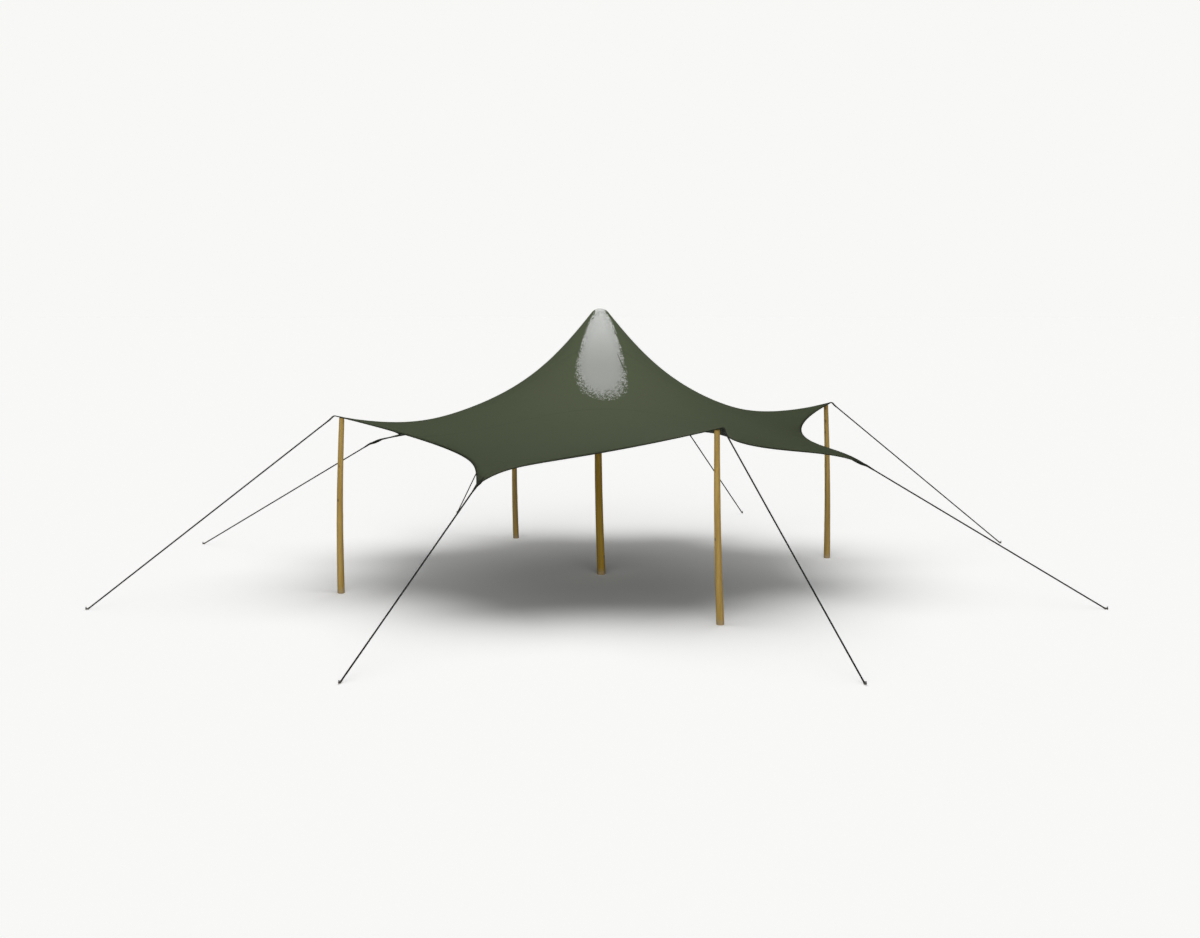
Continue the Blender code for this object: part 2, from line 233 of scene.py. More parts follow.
# Turned head: the skirt under its dome as shares of its radius and of the skirt's height
HEAD_SKIRT = (
    (1.0, 0.04),
    (1.0, 0.45),
    (0.985, 0.52),
    (0.955, 0.56),
    (0.955, 0.62),
    (0.94, 0.72),
    (0.90, 0.88),
    (0.84, 1.0),
)
HEAD_RINGS = 25
HEAD_SIDES = 72
HEAD_RING_PITCH = 0.0016
HEAD_STREAKS = 0.5

# Painted light and shade on each pole's timber: how much lighter or darker it is painted than the others, as
# the light falls on it
POLE_PAINTED_LIGHT = {"centre_pole": 1.04, "right": 0.93, "back": 0.92, "left": 1.14, "front": 1.19}

# Cells of a pole in each metre, across and up it; each holds one knot
KNOT_CELLS = (7.0, 7.0, 4.0)

# How far from a knot's middle the timber swells, the grain bends and the dark heart fades, as
# shares of a cell, and how close its year rings lie
KNOT_SWELLING = (0.05, 0.30)
KNOT_BENDING = (0.04, 0.30)
KNOT_HEART = (0.07, 0.12)
KNOT_YEARS = 190.0


# Helpers for meshes and pieces

def link_object(name, data):
    """Put a new object into the scene."""
    made = bpy.data.objects.new(name, data)
    bpy.context.scene.collection.objects.link(made)
    return made


def applied_mesh(holder):
    """The mesh that an object's modifiers make of it; the object itself is removed."""
    depsgraph = bpy.context.evaluated_depsgraph_get()
    made = bpy.data.meshes.new_from_object(holder.evaluated_get(depsgraph))
    bpy.data.objects.remove(holder, do_unlink=True)
    return made


def finish_piece(name, mesh, slot, *replaced):
    """Link a mesh as a piece that rides on the tent and stands for its CAD nodes."""
    piece = link_object(name, mesh)
    mesh.name = name
    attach(piece, BODY)
    if replaced:
        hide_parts(*replaced)


def join_meshes(name, meshes):
    """Join several meshes into one, keeping their materials and attributes."""
    parts = [link_object(name, mesh) for mesh in meshes]
    with bpy.context.temp_override(active_object=parts[0], selected_editable_objects=parts):
        bpy.ops.object.join()
    joined = parts[0].data
    bpy.data.objects.remove(parts[0], do_unlink=True)
    return joined


def run_nodes(tree, source_mesh, values):
    """Run a Geometry Nodes tree on a mesh and return the plain mesh that it makes."""
    source = link_object(tree.name, source_mesh)
    modifier = source.modifiers.new(tree.name, "NODES")
    modifier.node_group = tree
    identifiers = {
        item.name: item.identifier
        for item in tree.interface.items_tree
        if item.item_type == "SOCKET" and item.in_out == "INPUT"
    }
    for label, value in values.items():
        modifier[identifiers[label]] = value
    made = applied_mesh(source)
    if not made.polygons:
        raise RuntimeError(tree.name + " made no faces")
    made.materials.clear()
    made.materials.append(next(value for value in values.values() if isinstance(value, bpy.types.Material)))
    made.polygons.foreach_set("material_index", np.zeros(len(made.polygons), np.int32))
    return made


def set_attribute(mesh, label, values, kind="FLOAT"):
    """Keep a number or a vector at each point of a mesh."""
    layer = mesh.attributes.new(label, kind, "POINT")
    key = "vector" if kind == "FLOAT_VECTOR" else "value"
    layer.data.foreach_set(key, np.asarray(values, np.float32).ravel())


def chain_mesh(name, points, vectors=None, floats=None):
    """A chain of points joined by edges, with named vectors and numbers on each point."""
    mesh = bpy.data.meshes.new(name)
    mesh.from_pydata([tuple(p) for p in points], [(i, i + 1) for i in range(len(points) - 1)], [])
    for label, values in (vectors or {}).items():
        set_attribute(mesh, label, values, "FLOAT_VECTOR")
    for label, values in (floats or {}).items():
        set_attribute(mesh, label, values)
    return mesh


def node_points(node):
    """The corners of a CAD node as rows of x, y and z."""
    return np.array([vert.co for vert in frame["nodes"][node].data.vertices])


def level_rings(node):
    """The level rings of a CAD node, bottom to top: heights, centres and radii."""
    points = node_points(node)
    keys = np.round(points[:, 2], 4)
    rings = []
    for height in np.unique(keys):
        ring = points[keys == height]
        corners = np.unique(np.round(ring, 5), axis=0)
        if len(corners) < 3:
            continue
        centre = (corners[:, :2].min(0) + corners[:, :2].max(0)) / 2
        radius = np.linalg.norm(corners[:, :2] - centre, axis=1).max()
        rings.append((height, centre[0], centre[1], radius))
    table = np.array(rings)
    return table[:, 0], table[:, 1:3], table[:, 3]


def end_centres(node):
    """The centres of a straight CAD rod's upper and lower ends."""
    points = node_points(node)
    middle = points.mean(0)
    axis = np.linalg.svd(points - middle)[2][0]
    reach = (points - middle) @ axis
    ends = [Vector(points[reach > 0].mean(0)), Vector(points[reach < 0].mean(0))]
    return sorted(ends, key=lambda end: -end.z)


def smooth_curve(at, knots, values):
    """Read a smooth curve through rows of known values."""
    slopes = np.gradient(values, knots, axis=0)
    spot = np.clip(np.searchsorted(knots, at, side="right") - 1, 0, len(knots) - 2)
    step = (knots[spot + 1] - knots[spot])[:, None]
    share = (at - knots[spot])[:, None] / step
    first, second = values[spot], values[spot + 1]
    rise, fall = slopes[spot] * step, slopes[spot + 1] * step
    bend = 2 * first - 2 * second + rise + fall
    return first + share * (rise + share * (3 * (second - first) - 2 * rise - fall + share * bend))


def unit_rows(rows):
    """Rows of x, y and z, each brought to a length of one."""
    return rows / np.linalg.norm(rows, axis=1)[:, None]


def run_along(points):
    """How far each point lies along the line through them all."""
    return np.concatenate([[0], np.cumsum(np.linalg.norm(np.diff(points, axis=0), axis=1))])


def read_rows(at, run, rows):
    """Read rows of x, y and z at distances along a line."""
    return np.stack([np.interp(at, run, rows[:, axis]) for axis in range(3)], 1)


# Helpers for node trees

class Field:
    """A value in a node tree; arithmetic with it adds Math nodes."""

    def __init__(self, socket):
        self.socket = socket
        self.tree = socket.id_data

    def __add__(self, other):
        return calc("ADD", self, other)

    def __sub__(self, other):
        return calc("SUBTRACT", self, other)

    def __rsub__(self, other):
        return calc("SUBTRACT", other, self)

    def __mul__(self, other):
        return calc("MULTIPLY", self, other)

    def __truediv__(self, other):
        return calc("DIVIDE", self, other)

    def __rtruediv__(self, other):
        return calc("DIVIDE", other, self)


def tree_of(*values):
    """The tree of the first field among some values."""
    return next(value.tree for value in values if isinstance(value, Field))


def feed(socket, value):
    """Feed a socket with a field, another node's socket or a plain value; a colour gets full alpha."""
    source = value.socket if isinstance(value, Field) else value
    if isinstance(source, bpy.types.NodeSocket):
        socket.id_data.links.new(source, socket)
    elif socket.type == "RGBA":
        socket.default_value = (*value, 1.0)
    else:
        socket.default_value = value


def add_node(tree, kind, inputs=None, **properties):
    """Add a node, set its properties, and feed its inputs."""
    made = tree.nodes.new(kind)
    for label, value in properties.items():
        setattr(made, label, value)
    for key, value in (inputs or {}).items():
        feed(made.inputs[key], value)
    return made


def outputs_of(made):
    """The outputs of a node by their names."""
    return {socket.name: Field(socket) for socket in made.outputs}


def calc(operation, *operands, clamp=False):
    """One Math node."""
    inputs = dict(enumerate(operands))
    made = add_node(tree_of(*operands), "ShaderNodeMath", inputs, operation=operation, use_clamp=clamp)
    return Field(made.outputs[0])


def vector_calc(operation, *operands):
    """One Vector Math node."""
    inputs = dict(enumerate(operands))
    made = add_node(tree_of(*operands), "ShaderNodeVectorMath", inputs, operation=operation)
    return outputs_of(made)["Value" if operation in ("DISTANCE", "DOT_PRODUCT") else "Vector"]


def scaled(vector, factor):
    """A vector multiplied by a number."""
    inputs = {0: vector, "Scale": factor}
    made = add_node(tree_of(vector, factor), "ShaderNodeVectorMath", inputs, operation="SCALE")
    return Field(made.outputs[0])


def stretched(vector, scale):
    """A vector with each part multiplied."""
    return vector_calc("MULTIPLY", vector, scale)


def combined(x=0.0, y=0.0, z=0.0):
    """A vector from its X, Y and Z."""
    return Field(add_node(tree_of(x, y, z), "ShaderNodeCombineXYZ", {0: x, 1: y, 2: z}).outputs[0])


def split(vector):
    """The X, Y and Z of a vector."""
    return [Field(socket) for socket in add_node(vector.tree, "ShaderNodeSeparateXYZ", {0: vector}).outputs]


def remap(value, low, high, to_low=0.0, to_high=1.0, smooth=False):
    """Map a range of values onto another, held at its ends."""
    kind = "SMOOTHSTEP" if smooth else "LINEAR"
    inputs = {"Value": value, "From Min": low, "From Max": high, "To Min": to_low, "To Max": to_high}
    return Field(add_node(value.tree, "ShaderNodeMapRange", inputs, interpolation_type=kind).outputs[0])


def texture(kind, output, inputs, **properties):
    """One output of a texture node."""
    made = add_node(inputs["Vector"].tree, "ShaderNodeTex" + kind, inputs, **properties)
    return outputs_of(made)[output]


def noise(vector, scale, detail=2.0, roughness=0.5):
    """A noise value from 0 to 1, mostly near the middle."""
    inputs = {"Vector": vector, "Scale": scale, "Detail": detail, "Roughness": roughness}
    return texture("Noise", "Fac", inputs)


def mix_colour(factor, first, second, blend="MIX"):
    """Mix two colours."""
    made = add_node(tree_of(factor, first, second), "ShaderNodeMix", data_type="RGBA", blend_type=blend)
    colours = [socket for socket in made.inputs if socket.type == "RGBA"]
    for socket, value in ((made.inputs[0], factor), (colours[0], first), (colours[1], second)):
        feed(socket, value)
    return next(Field(socket) for socket in made.outputs if socket.type == "RGBA")


def tinted(colour, factor):
    """A colour made lighter or darker by a value."""
    grey = add_node(factor.tree, "ShaderNodeCombineColor", {0: factor, 1: factor, 2: factor})
    return mix_colour(1.0, colour, Field(grey.outputs[0]), "MULTIPLY")


def attribute(tree, name):
    """A named number of the mesh, read by a material."""
    return outputs_of(add_node(tree, "ShaderNodeAttribute", attribute_name=name))["Fac"]


def coordinates(tree):
    """Where each point lies: on its object, in metres, and on its flat pattern."""
    made = outputs_of(tree.nodes.new("ShaderNodeTexCoord"))
    return made["Object"], made["UV"]


def new_group(name, kind, inputs, outputs):
    """Start a node group; each input is given by its kind or by the number that it starts with."""
    tree = bpy.data.node_groups.new(name, kind)
    for label, value in inputs.items():
        named = isinstance(value, str)
        socket_type = "NodeSocket" + (value if named else type(value).__name__.capitalize())
        socket = tree.interface.new_socket(label, in_out="INPUT", socket_type=socket_type)
        if not named:
            socket.default_value = value
    for label, value in outputs.items():
        tree.interface.new_socket(label, in_out="OUTPUT", socket_type="NodeSocket" + value)
    start = tree.nodes.new("NodeGroupInput")
    end = tree.nodes.new("NodeGroupOutput")
    return tree, outputs_of(start), end.inputs


def use_group(group, values):
    """Place a node group in a material."""
    return outputs_of(add_node(tree_of(*values.values()), "ShaderNodeGroup", values, node_tree=group))


def new_material(name, roughness, metallic=0.0, specular=0.5):
    """A material with a Principled shader; returns it, its tree and its shader."""
    material = bpy.data.materials.new(name)
    material.use_nodes = True
    tree = material.node_tree
    shader = tree.nodes["Principled BSDF"]
    shader.inputs["Roughness"].default_value = roughness
    shader.inputs["Metallic"].default_value = metallic
    shader.inputs["Specular IOR Level"].default_value = specular
    return material, tree, shader


def set_bump(shader, height, strength, distance):
    """Feed a height into the shader's normal."""
    inputs = {"Height": height, "Strength": strength, "Distance": distance}
    feed(shader.inputs["Normal"], add_node(height.tree, "ShaderNodeBump", inputs).outputs[0])


# Helpers for Geometry Nodes

def new_geometry_tree(name, inputs):
    """Start a Geometry Nodes tree that puts out one geometry."""
    return new_group(name, "GeometryNodeTree", inputs, {"Geometry": "Geometry"})


def geometry(tree, kind, inputs=None, **properties):
    """The first output of a Geometry Nodes node."""
    return Field(add_node(tree, "GeometryNode" + kind, inputs, **properties).outputs[0])


def named_vector(tree, name):
    """A named vector attribute."""
    return geometry(tree, "InputNamedAttribute", {"Name": name}, data_type="FLOAT_VECTOR")


def named_float(tree, name):
    """A named number attribute."""
    return geometry(tree, "InputNamedAttribute", {"Name": name}, data_type="FLOAT")


def distance_along(tree):
    """How far along its curve each point lies."""
    return outputs_of(tree.nodes.new("GeometryNodeSplineParameter"))["Length"]


def store(shape, name, value):
    """Keep a number at each point of a geometry as a named attribute."""
    made = add_node(shape.tree, "GeometryNodeStoreNamedAttribute", data_type="FLOAT", domain="POINT")
    for key, item in {"Geometry": shape, "Name": name, "Value": value}.items():
        feed(next(socket for socket in made.inputs if socket.name == key and socket.enabled), item)
    return Field(made.outputs[0])


def move(shape, offset):
    """Shift the points of a geometry."""
    return geometry(shape.tree, "SetPosition", {"Geometry": shape, "Offset": offset})


def swell(shape, rise):
    """Shift the points of a surface along its normals."""
    return move(shape, scaled(geometry(shape.tree, "InputNormal"), rise))


def circle(tree, sides, radius):
    """A round profile."""
    return geometry(tree, "CurvePrimitiveCircle", {"Resolution": sides, "Radius": radius})


def even_curve(curve, spacing):
    """A curve with evenly spaced points, each of which keeps its distance along the curve."""
    even = geometry(curve.tree, "ResampleCurve", {0: curve, "Length": spacing}, mode="LENGTH")
    return store(even, "run", distance_along(curve.tree))


def curve_dots(curve, pitch):
    """Points along a curve at an even pitch, with their rotations."""
    inputs = {"Curve": curve, "Length": pitch}
    return outputs_of(add_node(curve.tree, "GeometryNodeCurveToPoints", inputs, mode="LENGTH"))


def sweep(curve, profile, **inputs):
    """Sweep a profile along a curve and close its ends."""
    inputs.update({"Curve": curve, "Profile Curve": profile, "Fill Caps": True})
    return geometry(curve.tree, "CurveToMesh", inputs)


def joined(parts):
    """Several geometries as one."""
    made = parts[0].tree.nodes.new("GeometryNodeJoinGeometry")
    for part in parts:
        feed(made.inputs[0], part)
    return Field(made.outputs[0])


def end_tree(shape, material, end):
    """Realize, smooth and paint the result, pass it out and return the tree."""
    tree = shape.tree
    real = geometry(tree, "RealizeInstances", {0: shape})
    smooth = geometry(tree, "SetShadeSmooth", {0: real})
    feed(end[0], geometry(tree, "SetMaterial", {"Geometry": smooth, "Material": material}))
    return tree


# Shared shader groups

def soft_variation_group():
    """Broad and fine tone changes, as sun and weather leave on any surface."""
    tree, start, end = new_group(
        "Soft variation",
        "ShaderNodeTree",
        {"Vector": "Vector", "Broad Scale": 1.0, "Fine Scale": 12.0, "Strength": 0.1},
        {"Tone": "Float"},
    )
    broad = noise(start["Vector"], start["Broad Scale"], 3.0)
    fine = noise(start["Vector"], start["Fine Scale"], 4.0, 0.6)
    both = broad * 0.7 + fine * 0.3
    swing = (both - 0.5) * start["Strength"]
    feed(end["Tone"], swing * 2.0 + 1.0)
    return tree


def woven_group():
    """Crossed threads on a flat pattern given in metres."""
    tree, start, end = new_group(
        "Woven threads",
        "ShaderNodeTree",
        {"Vector": "Vector", "Pitch": 0.0015, "Slant": 0.0},
        {"Height": "Float", "Tone": "Float"},
    )
    place = split(start["Vector"])
    turns = 2 * math.pi / start["Pitch"]
    across = place[1] * start["Slant"] + place[0]
    warp = calc("SINE", across * turns)
    weft = calc("SINE", place[1] * turns)
    height = warp * weft * 0.5 + 0.5
    feed(end["Height"], height)
    feed(end["Tone"], height * 0.12 + 0.94)
    return tree


def ground_dust_group():
    """Dust and damp that climb a little way up from the ground in an uneven line."""
    tree, start, end = new_group(
        "Ground dust",
        "ShaderNodeTree",
        {"Vector": "Vector", "Reach": 0.1, "Strength": 0.5},
        {"Mask": "Float"},
    )
    uneven = noise(start["Vector"], 22.0, 3.0)
    height = split(start["Vector"])[2]
    share = height / (start["Reach"] * uneven)
    fade = remap(share, 0.2, 2.2, 1.0, 0.0, smooth=True)
    feed(end["Mask"], fade * start["Strength"])
    return tree


def varied(groups, place, broad, fine, strength):
    """Soft changes of tone, from their broad and fine scales and their strength."""
    values = {"Vector": place, "Broad Scale": broad, "Fine Scale": fine, "Strength": strength}
    return use_group(groups["variation"], values)["Tone"]


def dusted(groups, place, reach, strength, colour, dust_colour):
    """A colour with ground dust on it, and how much of it the dust covers."""
    values = {"Vector": place, "Reach": reach, "Strength": strength}
    mask = use_group(groups["dust"], values)["Mask"]
    return mix_colour(mask, colour, dust_colour), mask


# Canopy shape

def tip_corners(droop):
    """The eight corners of the cloth as rows of x, y, z."""
    angles = FIRST_TIP_ANGLE + np.arange(TIP_COUNT) * 2 * math.pi / TIP_COUNT
    high = np.arange(TIP_COUNT) % 2 == 0
    radii = np.where(high, HIGH_TIP_RADIUS, LOW_TIP_RADIUS) + [EXTRA_REACH.get(name, 0.0) for name in TIPS]
    heights = np.where(high, HIGH_TIP_HEIGHT, LOW_TIP_HEIGHT)
    if droop:
        heights = heights - [LOW_TIP_DROOP.get(name, 0.0) for name in TIPS]
    return np.stack([radii * np.cos(angles), radii * np.sin(angles), heights], 1)


def scallop_points(tip, share):
    """Points on the edge from one tip to the next, at shares of the way."""
    corners = tip_corners(droop=False)
    share = np.asarray(share, float)[:, None]
    points = corners[tip] * (1 - share) + corners[(tip + 1) % TIP_COUNT] * share
    fullness = 4 * share * (1 - share)
    middle = FIRST_TIP_ANGLE + (tip + 0.5) * 2 * math.pi / TIP_COUNT
    low_tip, to_low_tip = (tip + 1, share) if tip % 2 == 0 else (tip, 1 - share)
    droop = LOW_TIP_DROOP[TIPS[low_tip]]
    points[:, :2] -= SCALLOP_DEPTH * fullness * np.array([math.cos(middle), math.sin(middle)])
    points[:, 2:] -= SCALLOP_SAG * fullness + droop * to_low_tip**LOW_TIP_DROOP_POWER
    return points


def spoke_angles():
    """The direction of each spoke of the net, seen from above."""
    return FIRST_TIP_ANGLE + np.arange(SPOKES) * 2 * math.pi / SPOKES


def dome_ring(angle):
    """A ring of the cloth on the domed head, at an angle from its top."""
    turns = spoke_angles()
    out = DOME_RADIUS * math.sin(angle)
    heights = np.full(SPOKES, PEAK_HEIGHT - DOME_RADIUS * (1 - math.cos(angle)))
    return np.stack([PEAK_SHIFT + out * np.cos(turns), out * np.sin(turns), heights], 1)


def relaxed_net():
    """Balance a tensioned net between the dome and the scalloped edge, by conjugate gradients."""
    net = np.zeros((RINGS + 1, SPOKES, 3))
    net[0] = dome_ring(DOME_EDGE_ANGLE)
    shares = np.arange(SPOKES_PER_SCALLOP) / SPOKES_PER_SCALLOP
    net[RINGS] = np.concatenate([scallop_points(tip, shares) for tip in range(TIP_COUNT)])
    down = np.linspace(0, 1, RINGS + 1)[:, None, None]
    net = net[:1] * (1 - down) + net[RINGS:] * down
    finer = (SPOKES / FRAME_SPOKES) / (RINGS / FRAME_RINGS)
    hoop = finer**2 * (HOOP_PULL[0] + (HOOP_PULL[1] - HOOP_PULL[0]) * down)[1:-1]
    radial = np.linspace(*RADIAL_PULL, RINGS)[:, None, None]
    inner, outer = radial[:-1], radial[1:]

    def unbalanced(free, ends):
        """The pull left over on each free knot of the net."""
        whole = np.concatenate([ends[:1], free, ends[1:]])
        sides = np.roll(free, 1, 1) + np.roll(free, -1, 1)
        return (inner + outer + 2 * hoop) * free - inner * whole[:-2] - outer * whole[2:] - hoop * sides

    fixed = net[[0, RINGS]]
    free = net[1:-1].copy()
    rest = -unbalanced(free, fixed)
    step = rest.copy()
    error = (rest * rest).sum((0, 1))
    for _ in range(NET_STEPS):
        pull = unbalanced(step, np.zeros_like(fixed))
        length = error / (step * pull).sum((0, 1))
        free += length * step
        rest -= length * pull
        left = (rest * rest).sum((0, 1))
        if left.max() < NET_TOLERANCE:
            break
        step = rest + left / error * step
        error = left
    net[1:-1] = free
    return net


def canopy_grid(net):
    """Every ring of the sheet, from just off the peak to the edge."""
    dome = [dome_ring(DOME_EDGE_ANGLE * ring / DOME_RINGS) for ring in range(1, DOME_RINGS)]
    return np.concatenate([np.array(dome), net])


def edge_distances(points, edge):
    """How far each point lies from the scalloped edge."""
    start, end = edge, np.roll(edge, -1, axis=0)
    run = end - start
    reach = (run * run).sum(1)
    nearest = np.full(len(points), np.inf)
    for first, along, length in zip(start, run, reach):
        share = np.clip((points - first) @ along / length, 0, 1)[:, None]
        nearest = np.minimum(nearest, np.linalg.norm(points - first - share * along, axis=1))
    return nearest


def make_canopy_mesh(grid, thickness):
    """The sheet as a thin shell, with its flat pattern as UVs and its distances from edge and tips."""
    rings = len(grid)
    peak = np.array([[PEAK_SHIFT, 0, PEAK_HEIGHT]])
    points = np.concatenate([peak, grid.reshape(-1, 3)])
    faces = [(0, 1 + spoke, 1 + (spoke + 1) % SPOKES) for spoke in range(SPOKES)]
    for inner in range(1, 1 + (rings - 1) * SPOKES, SPOKES):
        outer = inner + SPOKES
        for spoke in range(SPOKES):
            beside = (spoke + 1) % SPOKES
            faces.append((inner + spoke, outer + spoke, outer + beside, inner + beside))
    mesh = bpy.data.meshes.new("canopy_sheet")
    mesh.from_pydata(points.tolist(), [], faces)
    spokes = np.concatenate([np.repeat(peak[None], SPOKES, 1), grid])
    run = np.cumsum(np.linalg.norm(np.diff(spokes, axis=0), axis=2), axis=0)
    turns = spoke_angles()
    flat = np.stack([run * np.cos(turns), run * np.sin(turns)], 2).reshape(-1, 2)
    flat = np.concatenate([[[0, 0]], flat])
    corners = np.zeros(len(mesh.loops), np.int32)
    mesh.loops.foreach_get("vertex_index", corners)
    pattern = mesh.uv_layers.new(name="flat_pattern")
    pattern.uv.foreach_set("vector", flat[corners].astype(np.float32).ravel())
    to_tips = np.linalg.norm(points[:, None] - tip_corners(droop=True)[None], axis=2).min(1)
    set_attribute(mesh, "edge_distance", edge_distances(points, grid[-1]))
    set_attribute(mesh, "tip_distance", to_tips)
    mesh.shade_smooth()
    area = sum(face.area for face in mesh.polygons)
    sheet = link_object("canopy_sheet", mesh)
    solidify = sheet.modifiers.new("Cloth", "SOLIDIFY")
    solidify.thickness = thickness
    solidify.offset = 0
    solidify.use_even_offset = True
    shell = applied_mesh(sheet)
    mark_upper_face(shell, len(points))
    return shell, area, run[-1]


def mark_upper_face(shell, count):
    """Mark the points of the shell's upper face, which carries the worn patch; the other face is painted
    darker as shade.
    """
    places = np.zeros((len(shell.vertices), 3), np.float32)
    shell.vertices.foreach_get("co", places.ravel())
    first_is_upper = places[:count, 2].mean() > places[count:, 2].mean()
    upper = (np.arange(len(places)) < count) == first_is_upper
    set_attribute(shell, "upper_face", upper)


# Canopy finish

def patch_mask(place):
    """The pale egg-shaped patch on the front of the peak, with its speckled border."""
    x, y, _ = split(place)
    up = (y - PATCH_CENTRE[1]) / PATCH_HALF_SIZE[1]
    below = calc("MINIMUM", up, 0.0)
    middle = below * below * PATCH_SKEW + PATCH_CENTRE[0]
    across = (x - middle) / PATCH_HALF_SIZE[0] / (1.0 - up * PATCH_NARROWING)
    egg = 1.0 - calc("SQRT", across * across + up * up)
    flat = combined(x, y)
    from_top = vector_calc("DISTANCE", flat, (PATCH_TOP[0], PATCH_TOP[1], 0.0))
    top = 1.0 - from_top / PATCH_TOP[2]
    inside = calc("MAXIMUM", egg, top)
    bend = texture("Noise", "Color", {"Vector": place, "Scale": 160.0, "Detail": 1.0})
    bent = vector_calc("ADD", place, stretched(bend, (0.004, 0.004, 0.004)))
    cells = {"Vector": bent, "Scale": PATCH_SPECKLE, "Randomness": 1.0}
    speckle = texture("Voronoi", "Color", cells, feature="F1")
    grit = split(speckle)[0] - 0.5
    drift = noise(place, 9.0, 3.0) - 0.5
    ragged = inside + drift * PATCH_DRIFT + grit * remap(up, *PATCH_GRIT)
    mask = remap(ragged, -PATCH_EDGE, PATCH_EDGE)
    return mask * slit_gap(flat), inside, grit


def slit_gap(flat):
    """0 on the thin dark slit in the patch and 1 elsewhere."""
    (x0, y0), (x1, y1) = PATCH_SLIT
    run = Vector((x1 - x0, y1 - y0, 0.0))
    offset = vector_calc("SUBTRACT", flat, (x0, y0, 0.0))
    reach = vector_calc("DOT_PRODUCT", offset, run)
    share = calc("DIVIDE", reach, run.length_squared, clamp=True)
    along = scaled(run, share)
    away = vector_calc("DISTANCE", offset, along)
    half = share * PATCH_SLIT_WIDTH + PATCH_SLIT_WIDTH / 3
    return remap(away - half, -PATCH_SLIT_EDGE, PATCH_SLIT_EDGE)


def seam_lines(pattern, width):
    """Flat-felled seams between the rolls of cloth: a raised band and its two stitch rows."""
    along, across = split(pattern)[:2]
    off = (calc("FRACT", across / width + 0.5) - 0.5) * width
    away = width / 2 - calc("ABSOLUTE", off)
    band = remap(away, *SEAM_BAND, 1.0, 0.0)
    row = remap(calc("ABSOLUTE", away - SEAM_ROW), *SEAM_THREAD, 1.0, 0.0)
    stitch = calc("FRACT", along / SEAM_STITCH_PITCH)
    dash = remap(stitch, *SEAM_STITCH_END, 1.0, 0.0)
    return band, row * dash


def make_cloth_material(settings, groups):
    """Dark olive stretch cloth with a pale worn patch, felled seams, a doubled hem and painted shade on its
    underside.
    """
    material, tree, shader = new_material("Olive stretch cloth", 0.9, specular=0.08)
    place, pattern = coordinates(tree)
    tone = varied(groups, place, 0.8, 14.0, 0.07)
    values = {"Vector": pattern, "Pitch": settings.thread_pitch, "Slant": 0.35}
    weave = use_group(groups["woven"], values)
    band, stitches = seam_lines(pattern, settings.panel_width)
    hem = remap(attribute(tree, "edge_distance"), *HEM_FOLD, 1.0, 0.0)
    corner = remap(attribute(tree, "tip_distance"), *CORNER_PATCH, 1.0, 0.0)
    doubled = calc("MAXIMUM", band, calc("MAXIMUM", hem, corner))
    factor = tone * weave["Tone"] * (1.0 - doubled * 0.10) * (1.0 - stitches * 0.35)
    olive = tinted(settings.cloth_colour, factor)
    mask, inside, grit = patch_mask(place)
    mask = mask * attribute(tree, "upper_face")
    pale = patch_colour(place, inside, grit, settings)
    # Painted shade: the underside is darkened against the upper face.
    olive = tinted(olive, remap(attribute(tree, "upper_face"), 0.0, 1.0, UNDERSIDE_PAINTED_SHADE, 1.0))
    feed(shader.inputs["Base Color"], mix_colour(mask, olive, pale))
    feed(shader.inputs["Roughness"], remap(mask, 0.0, 1.0, 0.86, 0.72))
    height = doubled * 0.8 + weave["Height"] * 0.35 - stitches * 0.5 - mask * 0.2
    set_bump(shader, height, 0.5, 0.0012)
    return material


def patch_colour(place, inside, grit, settings):
    """The bare backing of the cloth: lighter and streaked at the peak, greyer and gritty at its rim."""
    z = split(place)[2]
    lift = remap(z, *PATCH_HEIGHTS, smooth=True)
    pale = mix_colour(lift, settings.patch_low_colour, settings.patch_high_colour)
    streaks = noise(stretched(place, (1.0, 1.0, 0.05)), 110.0, 2.0)
    streaks = (streaks - 0.45) * 1.1 * remap(z, *PATCH_STREAKED) + 1.0
    rim = remap(inside, 0.0, 0.4, 0.88, 1.0) + grit * remap(inside, 0.05, 0.3, 0.7, 0.0)
    return tinted(pale, streaks * rim)


# Sewn hems and webbing

def stitch_row_tree():
    """A row of stitches along a curve, set in from it and lifted onto the cloth."""
    tree, start, end = new_geometry_tree(
        "Stitch row",
        {
            "Curve": "Geometry",
            "Pitch": 0.01,
            "Length": 0.006,
            "Thickness": 0.0012,
            "Inset": 0.01,
            "Lift": 0.001,
            "Thread": "Material",
        },
    )
    inset = scaled(named_vector(tree, "inward"), start["Inset"])
    lift = scaled(named_vector(tree, "upward"), start["Lift"])
    dots = curve_dots(start["Curve"], start["Pitch"])
    moved = move(dots["Points"], vector_calc("ADD", inset, lift))
    bead = geometry(tree, "MeshUVSphere", {"Segments": STITCH_SIDES, "Rings": STITCH_RINGS, "Radius": 0.5})
    size = combined(start["Thickness"], start["Thickness"], start["Length"])
    inputs = {"Points": moved, "Instance": bead, "Rotation": dots["Rotation"], "Scale": size}
    rows = geometry(tree, "InstanceOnPoints", inputs)
    return end_tree(rows, start["Thread"], end)


def hem_tree():
    """A round cord in its sewn sleeve along an edge."""
    tree, start, end = new_geometry_tree(
        "Hem cord",
        {"Edge": "Geometry", "Radius": 0.006, "Pucker": 0.0004, "Spacing": 0.02, "Sleeve": "Material"},
    )
    even = even_curve(geometry(tree, "MeshToCurve", {0: start["Edge"]}), start["Spacing"])
    moved = move(even, scaled(named_vector(tree, "inward"), start["Radius"] * -HEM_OVERHANG))
    tube = sweep(moved, circle(tree, HEM_SIDES, start["Radius"]))
    place = geometry(tree, "InputPosition")
    pucker = (noise(place, 60.0, 1.0) - 0.5) * start["Pucker"]
    return end_tree(swell(tube, pucker), start["Sleeve"], end)


